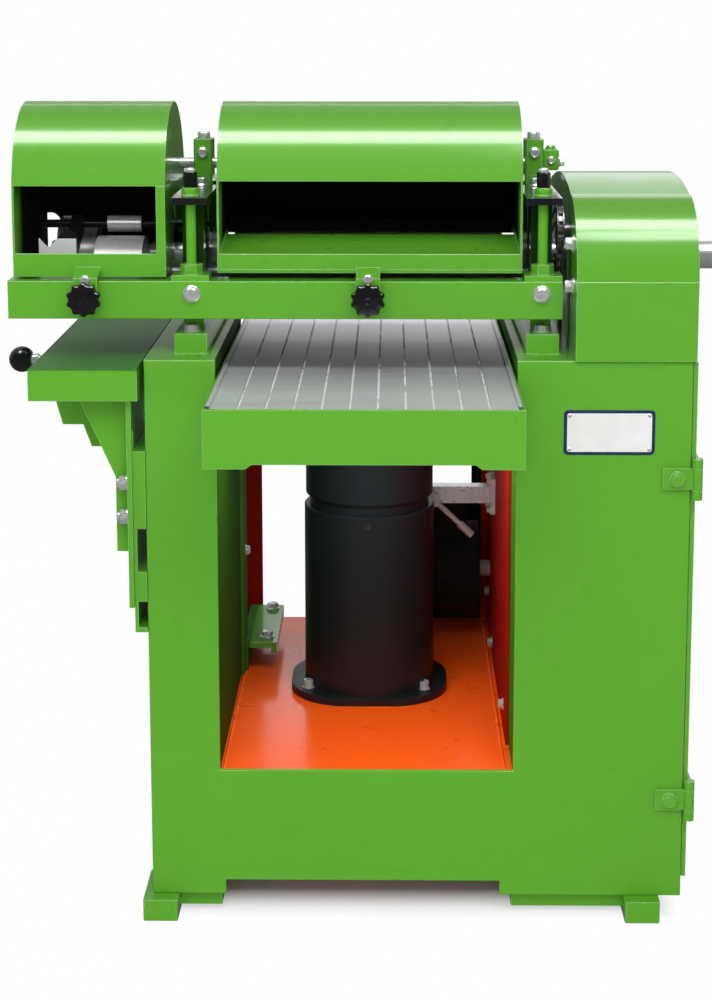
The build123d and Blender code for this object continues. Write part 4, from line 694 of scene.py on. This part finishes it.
def join(form, rows, finish_index=0):
    """Lays faces between neighbouring rows of points."""
    for low, high in zip(rows, rows[1:]):
        for i in range(len(low)):
            j = (i + 1) % len(low)
            form.faces.new((low[i], low[j], high[j], high[i])).material_index = finish_index


def skin(form, stand, rings):
    """Skins a stack of rings, each (height, radii), and closes both ends."""
    rows = []
    for height, radii in rings:
        count = len(radii)
        row = [
            Vector((r * math.cos(math.tau * i / count), r * math.sin(math.tau * i / count), height))
            for i, r in enumerate(radii)
        ]
        rows.append([form.verts.new(stand @ point) for point in row])
    join(form, rows)
    form.faces.new(rows[0][::-1])
    form.faces.new(rows[-1])


def slab(form, low, high, soften):
    """A block between two corners in millimetres, with softened edges."""
    low, high = Vector(low) * mm, Vector(high) * mm
    place = Matrix.Translation((low + high) / 2) @ Matrix.Diagonal((*(high - low), 1))
    corners = bmesh.ops.create_cube(form, size=1.0, matrix=place)["verts"]
    edges = list({edge for corner in corners for edge in corner.link_edges})
    bmesh.ops.bevel(form, geom=edges, offset=soften * mm, segments=2, profile=0.5, affect="EDGES")


def make_piece(name, form, finish, body, slot, *nodes):
    """Turns a form into a dressed piece that rides on a body and may stand for CAD nodes."""
    bmesh.ops.recalc_face_normals(form, faces=form.faces)
    mesh = bpy.data.meshes.new(name)
    form.to_mesh(mesh)
    form.free()
    for polygon in mesh.polygons:
        polygon.use_smooth = True
    mesh.set_sharp_from_angle(angle=sharp_angle)
    mesh.materials.append(finish)
    piece = bpy.data.objects.new(name, mesh)
    scene.collection.objects.link(piece)
    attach(piece, body)
    if nodes:
        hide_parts(*nodes)
    print(name, "rides on", body, "with", len(mesh.polygons), "faces")
    return piece


print("piece tools ready")

# %% [markdown]
# ## Bolts
# The machine is held together by zinc-plated hexagon bolts. The ones on the cross bar have a rolled
# flange under the head, those on the frame feet sit on a plain washer, the hinge bolts were painted
# over, and the clamp studs of the moulder slide carry a nut with the stud's end showing. One ring
# stack makes each of them; the chamfer that a lathe leaves on the head is a round ring on top of
# the hexagonal ones.

# %% Bolt shapes
knurl_points = 48


def hex_head(form, stand, flats, height, flange):
    """A flanged hexagon head with its turned chamfer and a shallow dished top."""
    rim = [(0, disc(flange)), (1.2, disc(flange)), (2.6, disc(flange * 0.86)), (2.8, disc(flats * 0.45))]
    head = [
        (2.0, hexagon(flats)),
        (height - 1.6, hexagon(flats)),
        (height - 0.2, disc(flats * 0.47)),
        (height, disc(flats * 0.42)),
        (height - 0.5, disc(flats * 0.36)),
        (height - 0.7, disc(flats * 0.10)),
    ]
    skin(form, stand, rim)
    skin(form, stand, head)


def washer(form, stand, radius, thickness):
    """A plain washer with worn edges."""
    skin(form, stand, [(0, disc(radius)), (thickness - 0.5, disc(radius)), (thickness, disc(radius - 0.6))])


def bolt_on_washer(form, place, facing, bolt, ring, lift=0.4):
    """A bolt whose flange stands a hair above the face that its washer lies on."""
    washer(form, seat(place, facing), *ring)
    hex_head(form, seat(Vector(place) + lift * Vector(facing), facing), *bolt)


def cap_screw(form, stand, radius, height):
    """A socket-head screw: knurled cylinder with a hexagon socket."""
    knurl = [radius - 0.35 * (i % 2) for i in range(knurl_points)]
    socket = hexagon(radius * 1.05, knurl_points)
    skin(
        form,
        stand,
        [
            (0, disc(radius, knurl_points)),
            (1.0, knurl),
            (height - 1.2, knurl),
            (height, disc(radius - 1.1, knurl_points)),
            (height, socket),
            (height - 5, socket),
        ],
    )


print("bolt shapes ready")

# %% [markdown]
# The sizes of a bolt are its width across flats, its height and the radius of its flange; those of
# a washer or a cap screw are its radius and its height. Places are in millimetres, on the faces
# that are clamped.

# %% Bolt set
bar_bolt, foot_bolt = (17.5, 9.6, 12.4), (19, 9.6, 10.6)
slide_nut, hinge_bolt = (19, 11.6, 11), (17, 9.2, 10)
foot_washer, slide_washer, plain_washer = (12.5, 2.2), (12, 2.5), (12, 2)
pivot_screw = (9.4, 10)
bar_front, bar_bolt_x, bar_bolt_z = -236, 247, 909
frame_x, foot_top, tie_rod_y, rear_foot_y = 249, 852, -211, 160
pivot_y, pivot_top = -5, 1112
slide_face, slide_y, slide_bolt_z = -336.6, -273, (645, 596)
stud_root, stud_rings = -329, [(0, disc(6.4)), (22.5, disc(6.4)), (24, disc(5.0))]
hinge_x, hinge_face, hinge_z = 436, -285, (655, 181)

bolts = bmesh.new()
for side in (-1, 1):
    hex_head(bolts, seat((side * bar_bolt_x, bar_front, bar_bolt_z), forward), *bar_bolt)
    for y in (tie_rod_y, rear_foot_y):
        bolt_on_washer(bolts, (side * frame_x, y, foot_top), upward, foot_bolt, foot_washer)
    cap_screw(bolts, seat((side * frame_x, pivot_y, pivot_top), upward), *pivot_screw)
for z in slide_bolt_z:
    bolt_on_washer(bolts, (slide_face, slide_y, z), leftward, slide_nut, slide_washer, lift=0.8)
    skin(bolts, seat((stud_root, slide_y, z), leftward), stud_rings)
make_piece("bolt_set", bolts, zinc, "base", "zinc", "hex_bolts")

hinge_bolts = bmesh.new()
for z in hinge_z:
    bolt_on_washer(hinge_bolts, (hinge_x, hinge_face, z), forward, hinge_bolt, plain_washer, lift=0.3)
make_piece("hinge_bolts", hinge_bolts, green, "base", "green_paint")

# %% [markdown]
# ## Fixings without a solid of their own
# Smaller screws hold the column's flange, the stay, the guide bracket, the belt guard, the side panel
# and the straps, and a black set screw sits in the column's rim. They carry no load that the motion
# model needs, so they exist here only, on the faces that they clamp.

# %% Small fixings
flange_washer, flange_screw = (10, 2), (8, 11)
guide_bolt, stay_screw, panel_bolt, guard_bolt = (17, 9.4, 10), (8, 6, 5.2), (13, 8, 9), (16, 12, 10)
strap_nut, strap_bolt, pivot_lock_screw = (15, 9, 8.6), (15, 12, 9.6), (13, 8, 8.6)
strap_collar = [(0, disc(13)), (1, disc(13)), (3.4, disc(10)), (4.2, disc(6))]
column_y, flange_top = 85, 233
flange_places = ((-97, 29), (88, 25), (-96, 149), (96, 149))
guide_foot_x, guide_foot_y, guide_foot_top = -171, (165, 316), 271
stay_face, stay_y, stay_z = 198, (163.5, 201.5), (489, 537)
panel_face, panel_places = 206, ((213, 246), (-119, 262), (330, 300))
post_place = (-205, 150, 424)
guard_side, guard_bolt_y, guard_bolt_z = 291, -230, (981, 920)
strap_top, strap_nut_x, strap_nut_y, strap_bolt_y, strap_nut_lift = 1045, 252, 85, -52, 2.5
pivot_front, pivot_lock_z = -27.5, 1092

fixings = bmesh.new()
for x, y in flange_places:
    washer(fixings, seat((x, y, flange_top), upward), *flange_washer)
    cap_screw(fixings, seat((x, y, flange_top + flange_washer[1]), upward), *flange_screw)
for y in guide_foot_y:
    bolt_on_washer(fixings, (guide_foot_x, y, guide_foot_top), upward, guide_bolt, plain_washer)
for y in stay_y:
    for z in stay_z:
        hex_head(fixings, seat((stay_face, y, z), leftward), *stay_screw)
for y, z in panel_places:
    hex_head(fixings, seat((panel_face, y, z), leftward), *panel_bolt)
hex_head(fixings, seat(post_place, rightward), *panel_bolt)
for z in guard_bolt_z:
    bolt_on_washer(fixings, (guard_side, guard_bolt_y, z), leftward, guard_bolt, plain_washer)
for side in (-1, 1):
    skin(fixings, seat((side * strap_nut_x, strap_nut_y, strap_top), upward), strap_collar)
    nut_seat = seat((side * strap_nut_x, strap_nut_y, strap_top + strap_nut_lift), upward)
    hex_head(fixings, nut_seat, *strap_nut)
    hex_head(fixings, seat((side * frame_x, strap_bolt_y, strap_top), upward), *strap_bolt)
    hex_head(fixings, seat((side * frame_x, pivot_front, pivot_lock_z), forward), *pivot_lock_screw)
make_piece("small_fixings", fixings, zinc, "base", "zinc")

# %% Rim set screw
rim_screw_x, rim_radius, rim_screw_z = -1.5, 103.9, 510
rim_screw = bmesh.new()
skin(
    rim_screw,
    seat((rim_screw_x, column_y - rim_radius, rim_screw_z), forward),
    [(0, disc(5.4)), (0.9, disc(5.2)), (0.9, hexagon(5.6)), (0.2, hexagon(5.4))],
)
make_piece("rim_set_screw", rim_screw, strap_black, "base", "black_paint")

# %% [markdown]
# ## Knobs
# Each hood is clamped to the bar by a moulded ten-point knob. Its outline is a circle with ten
# scallops for the fingers, its face is slightly domed and has a dimple at the centre where the mould
# was filled. The outline is worked out by angle: wherever a scallop's circle comes nearer to the
# axis than the rim does, the scallop wins.

# %% Star knobs
scallop_count, scallop_radius, knob_rim, knob_core = 10, 7.0, 24.4, 22.0
scallop_ring = knob_rim + scallop_radius - 3.0
knob_points = 160
main_knob_x, moulder_knob_x = 2, -395
knob_back, knob_root, knob_z = -250.3, -236.3, 905
# height, scale and softness of the rings from the hub to the domed face
knob_profile = (
    (8.2, 0.80, 0.3), (9.6, 0.97, 0.0), (11.2, 1.0, 0.0), (18.2, 1.0, 0.0), (20.6, 0.96, 0.08),
    (22.2, 0.86, 0.3), (23.2, 0.66, 0.7), (23.8, 0.42, 1.0),
)


def knob_outline(scale, softness):
    """Radii of the scalloped outline; softness fills the scallops towards the centre."""
    radii = []
    pitch = math.tau / scallop_count
    for i in range(knob_points):
        off = (math.tau * i / knob_points + pitch / 2) % pitch - pitch / 2
        reach = scallop_radius**2 - (scallop_ring * math.sin(off)) ** 2
        cut = scallop_ring * math.cos(off) - math.sqrt(reach) if reach > 0 else knob_rim
        radii.append(scale * (min(knob_rim, cut) * (1 - softness) + knob_core * softness))
    return radii


def star_knob(name, x, body, node):
    """One knob with its hub, screw and domed, dimpled face."""
    form = bmesh.new()
    hub = [(height, disc(radius, knob_points)) for height, radius in ((0, 10.4), (7.6, 11))]
    grip = [(height, knob_outline(scale, softness)) for height, scale, softness in knob_profile]
    dimple = [
        (height, disc(radius, knob_points)) for height, radius in ((23.9, 4.6), (23.1, 3.6), (22.6, 1.2))
    ]
    skin(form, seat((x, knob_back, knob_z), forward), hub + grip + dimple)
    skin(form, seat((x, knob_root, knob_z), forward), [(0, disc(4.9)), (14.2, disc(4.9))])
    make_piece(name, form, knob_black, body, "black_plastic", node)


star_knob("main_star_knob", main_knob_x, "main_knob", "main_knob")
star_knob("moulder_star_knob", moulder_knob_x, "moulder_knob", "moulder_knob")

# %% [markdown]
# ## Tab screws
# A small hexagon screw joins each hood's tab to its rail, just above the knob. It tips up with the
# hood, so it rides on the hood and not on the frame.

# %% Tab screws
tab_face, tab_screw = -250, (11.5, 5.5, 7.6)
for name, x, z in (("main_hood", main_knob_x, 932), ("moulder_hood", moulder_knob_x, 930)):
    screw = bmesh.new()
    hex_head(screw, seat((x, tab_face, z), forward), *tab_screw)
    make_piece(name + "_tab_screw", screw, zinc, name, "zinc")

# %% [markdown]
# ## Strap studs
# The tie rods end above the black straps in a painted nut, a black hexagon sleeve and a bright rounded
# end. Three finishes meet on one stud, so it is built as three pieces of the same outline.

# %% Strap studs
nuts, sleeves, ends = bmesh.new(), bmesh.new(), bmesh.new()
for side in (-1, 1):
    stand = seat((side * frame_x, tie_rod_y, strap_top), upward)
    collar = [(0, disc(13)), (2, disc(13)), (2.5, disc(12.2))]
    nut = [(2.6, hexagon(22)), (11, hexagon(22)), (12.5, disc(10.2))]
    skin(nuts, stand, collar + nut)
    skin(sleeves, stand, [(12.5, disc(8.6)), (13.5, hexagon(17)), (33, hexagon(17)), (34.5, disc(7.8))])
    skin(ends, stand, [(34.5, disc(7.2)), (38, disc(7.2)), (39.6, disc(5.8)), (40.4, disc(3.0))])
make_piece("strap_nuts", nuts, green, "base", "green_paint")
make_piece("strap_sleeves", sleeves, knob_black, "base", "black_plastic", "strap_studs")
make_piece("strap_stud_ends", ends, zinc, "base", "zinc")

# %% [markdown]
# ## Pivot lock
# On the right the hood's pivot pin ends in a small painted knuckle with a bright nut on each side. It
# keeps the pin from walking out. It hugs the pivot block, so it is carried by it.

# %% Pivot lock
lock_low, lock_high, lock_x, knuckle_sink = (263.2, -18, 1065), (287, 8, 1096), 275, 1
end_nut, end_nut_z = (15, 8.5, 9), 1078
front_nut, front_nut_z = (10, 6, 6.4), 1080
lock = bmesh.new()
slab(lock, lock_low, lock_high, soften=3.0)
knuckle = seat((lock_x, pivot_y, lock_high[2] - knuckle_sink), upward)
skin(lock, knuckle, [(0, disc(8)), (4, disc(7.4)), (7, disc(5))])
make_piece("pivot_lock", lock, green, "base", "green_paint")
lock_nuts = bmesh.new()
hex_head(lock_nuts, seat((lock_high[0], pivot_y, end_nut_z), rightward), *end_nut)
hex_head(lock_nuts, seat((lock_x, lock_low[1], front_nut_z), forward), *front_nut)
make_piece("pivot_lock_nuts", lock_nuts, zinc, "base", "zinc")

# %% [markdown]
# ## Ball handle
# The moulder table is moved by a black ball on a bright rod. The ball is moulded with a flat where it
# meets the rod's collar, so it isn't a bare sphere: it is skinned from rings along the rod.

# %% Ball handle
ball_radius, ball_x, ball_y, ball_z = 18.9, -503.5, -161, 801
ball_flat, ball_rings_from, ball_ring_step, ball_ring_count = -14.5, -52, 9.4, 15
rod_root = -460.2
ball_rings = [(ball_flat, disc(8.0)), (ball_flat, disc(11.3))]
for step in range(1, ball_ring_count + 1):
    turn = math.radians(ball_rings_from + step * ball_ring_step)
    ball_rings.append((ball_radius * math.sin(turn), disc(ball_radius * math.cos(turn))))
ball_rings.append((ball_radius - 0.05, disc(0.6)))
ball_grip = bmesh.new()
skin(ball_grip, seat((ball_x, ball_y, ball_z), leftward), ball_rings)
make_piece("ball_grip", ball_grip, knob_black, "ball", "black_plastic", "ball_handle")

rod = [(0, disc(5.9)), (18, disc(5.9))]
rod_collar = [(18.5, disc(8.2)), (23.5, disc(8.2)), (24.5, disc(7.4)), (29.5, disc(7.4))]
ball_rod = bmesh.new()
skin(ball_rod, seat((rod_root, ball_y, ball_z), leftward), rod + rod_collar)
make_piece("ball_rod", ball_rod, zinc, "ball", "zinc")

# %% [markdown]
# ## Name plate
# The right column carries a bare white plate with rounded corners, a dark blue border and four
# rivets. The border could be a second frame laid on top, but then it would need its own edges. It is
# the plate's own outer ring of faces, a hair lower than the field, as on an etched plate.

# %% Bare plate
plate_x, plate_z, plate_back = (276.5, 404), (688.5, 752.5), -280
corner_steps = 6
# inset, corner radius and thickness of each ring, from the back edge to the field
plate_rings = ((0, 6, 0), (0, 6, 0.9), (0.5, 5.5, 1.2), (4.2, 3.4, 1.2), (4.5, 3.2, 1.5))
lacquer = {"gloss": (0.22, 0.34), "grain": 600, "depth": 0.02}
rivet_inset, rivet_lift = 8, 1.4
rivet_rings = [(0, disc(2.6)), (0.7, disc(2.4)), (1.3, disc(1.7)), (1.6, disc(0.7))]


def rounded_outline(inset, corner, y):
    """Points round the plate's edge, an inset in from its outside."""
    low_x, high_x = plate_x[0] + inset + corner, plate_x[1] - inset - corner
    low_z, high_z = plate_z[0] + inset + corner, plate_z[1] - inset - corner
    centres = ((high_x, high_z), (low_x, high_z), (low_x, low_z), (high_x, low_z))
    points = []
    for quarter, (centre_x, centre_z) in enumerate(centres):
        for step in range(corner_steps + 1):
            turn = math.tau / 4 * (quarter + step / corner_steps)
            x, z = centre_x + corner * math.cos(turn), centre_z + corner * math.sin(turn)
            points.append(Vector((x, y, z)) * mm)
    return points


plate = bmesh.new()
plate_rows = [
    [plate.verts.new(point) for point in rounded_outline(inset, corner, plate_back - thickness)]
    for inset, corner, thickness in plate_rings
]
join(plate, plate_rows, finish_index=1)
plate.faces.new(plate_rows[-1])

plate_white = moulded("plate_white_lacquer", (0.80, 0.80, 0.79), (0.74, 0.74, 0.73), **lacquer)
plate_blue = moulded("plate_blue_border", (0.010, 0.020, 0.075), (0.014, 0.027, 0.095), **lacquer)
name_plate = make_piece("bare_name_plate", plate, plate_white, "base", "green_paint")
name_plate.data.materials.append(plate_blue)

rivets = bmesh.new()
for x in (plate_x[0] + rivet_inset, plate_x[1] - rivet_inset):
    for z in (plate_z[0] + rivet_inset, plate_z[1] - rivet_inset):
        skin(rivets, seat((x, plate_back - rivet_lift, z), forward), rivet_rings)
make_piece("plate_rivets", rivets, zinc, "base", "zinc")

# %% [markdown]
# ## Weld beads
# The frame feet are welded to the base, and two long seams hold the floor pan's edge strips. A weld is
# a row of frozen ripples, so each bead is a thin tube whose thickness swells and shrinks along its way,
# half sunk in the corner that it fills.

# %% Welds
rings_per_ripple, fewest_rings = 4, 6
bead_points, end_taper = 10, 0.45
mean_swell, ripple_swell, slow_swell, slow_turn = 0.84, 0.16, 0.05, 1.7
foot_inner, foot_outer, foot_front, foot_rear = 226, 272, -236.5, 180
front_seam_z, side_seam_z = 822.6, 822.4
pan_strips, pan_front, pan_rear, pan_seam_z = (-206, 199), -272, 412, 221.2
rear_seam_y, rear_seam_z, rear_seams = 413.5, 221.5, ((-229, -196), (196, 205))


def weld(form, start, end, radius, ripple):
    """A rippled bead between two points; ripple is the length of one wave."""
    start, end = Vector(start), Vector(end)
    span = (end - start).length
    count = max(fewest_rings, int(span / ripple * rings_per_ripple))
    rings = []
    for i in range(count + 1):
        wave = ripple_swell * math.sin(i * math.tau / rings_per_ripple)
        swell = mean_swell + wave + slow_swell * math.sin(i * slow_turn)
        taper = end_taper if i in (0, count) else 1.0
        rings.append((span * i / count, disc(radius * swell * taper, bead_points)))
    skin(form, seat(start, end - start), rings)


weld_green = enamel("weld_enamel", *leaf_green, gloss=(0.5, 0.6), coat=0.0)
foot_welds = bmesh.new()
for side in (-1, 1):
    inner, outer = side * foot_inner, side * foot_outer
    front_seam = [(x, foot_front, front_seam_z) for x in (inner, outer)]
    weld(foot_welds, *front_seam, radius=3.0, ripple=4.0)
    for x in (inner, outer):
        weld(foot_welds, (x, bar_front, side_seam_z), (x, foot_rear, side_seam_z), radius=2.6, ripple=4.5)
make_piece("frame_foot_welds", foot_welds, weld_green, "base", "green_paint")

pan_seams = bmesh.new()
for x in pan_strips:
    weld(pan_seams, (x, pan_front, pan_seam_z), (x, pan_rear, pan_seam_z), radius=2.6, ripple=6.0)
for ends in rear_seams:
    weld(pan_seams, *((x, rear_seam_y, rear_seam_z) for x in ends), radius=3.5, ripple=5.0)
make_piece("pan_seams", pan_seams, orange, "base", "orange_paint")

# %% [markdown]
# ## Hems on the hood's lip
# The sheet at the bottom of the main hood is folded back on itself, which leaves a fine crease along
# the lip and up both ends. The crease is a slim half-round line, laid on the lip's face. A painted
# highlight, a pale line of its own, runs along the edge of each window and along the fold where the
# belt guard's front begins to curve.

# %% Hood hem
hem_front, hem_z, hem_top, hem_inset = -215.1, 940.5, 958, 5
hem_radius, highlight_line_radius, crease_points = 0.8, 0.7, 10


def crease(form, start, end, radius):
    """A slim round line between two points, half sunk in the sheet."""
    start, end = Vector(start), Vector(end)
    ring = disc(radius, crease_points)
    skin(form, seat(start, end - start), [(0, ring), ((end - start).length, ring)])


hood_low, hood_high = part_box("main_hood")
hem_left, hem_right = hood_low.x / mm + hem_inset, hood_high.x / mm - hem_inset
hem = bmesh.new()
crease(hem, (hem_left, hem_front, hem_z), (hem_right, hem_front, hem_z), hem_radius)
for x in (hem_left, hem_right):
    crease(hem, (x, hem_front, hem_z), (x, hem_front, hem_top), hem_radius)
make_piece("main_hood_hem", hem, green, "main_hood", "green_paint")

# %% Painted highlight lines
window_edge_z, guard_front, guard_fold_z = 962.7, -285.1, 933.0
# pale green for painted highlight lines along the window edges and the guard's fold
highlight_line_green = enamel("highlight_line_enamel", (0.34, 0.64, 0.22), (0.31, 0.60, 0.20), edge_highlight_green)
for piece, body, first, last, y, z in (
    ("main_hood_bead", "main_hood", hem_left - 2, hem_right + 2, hem_front, window_edge_z),
    ("moulder_hood_bead", "moulder_hood", -498, -306, hem_front, window_edge_z),
    ("guard_fold_bead", "base", 292, 459, guard_front, guard_fold_z),
):
    bead = bmesh.new()
    crease(bead, (first, y, z), (last, y, z), highlight_line_radius)
    make_piece(piece, bead, highlight_line_green, body, "green_paint")
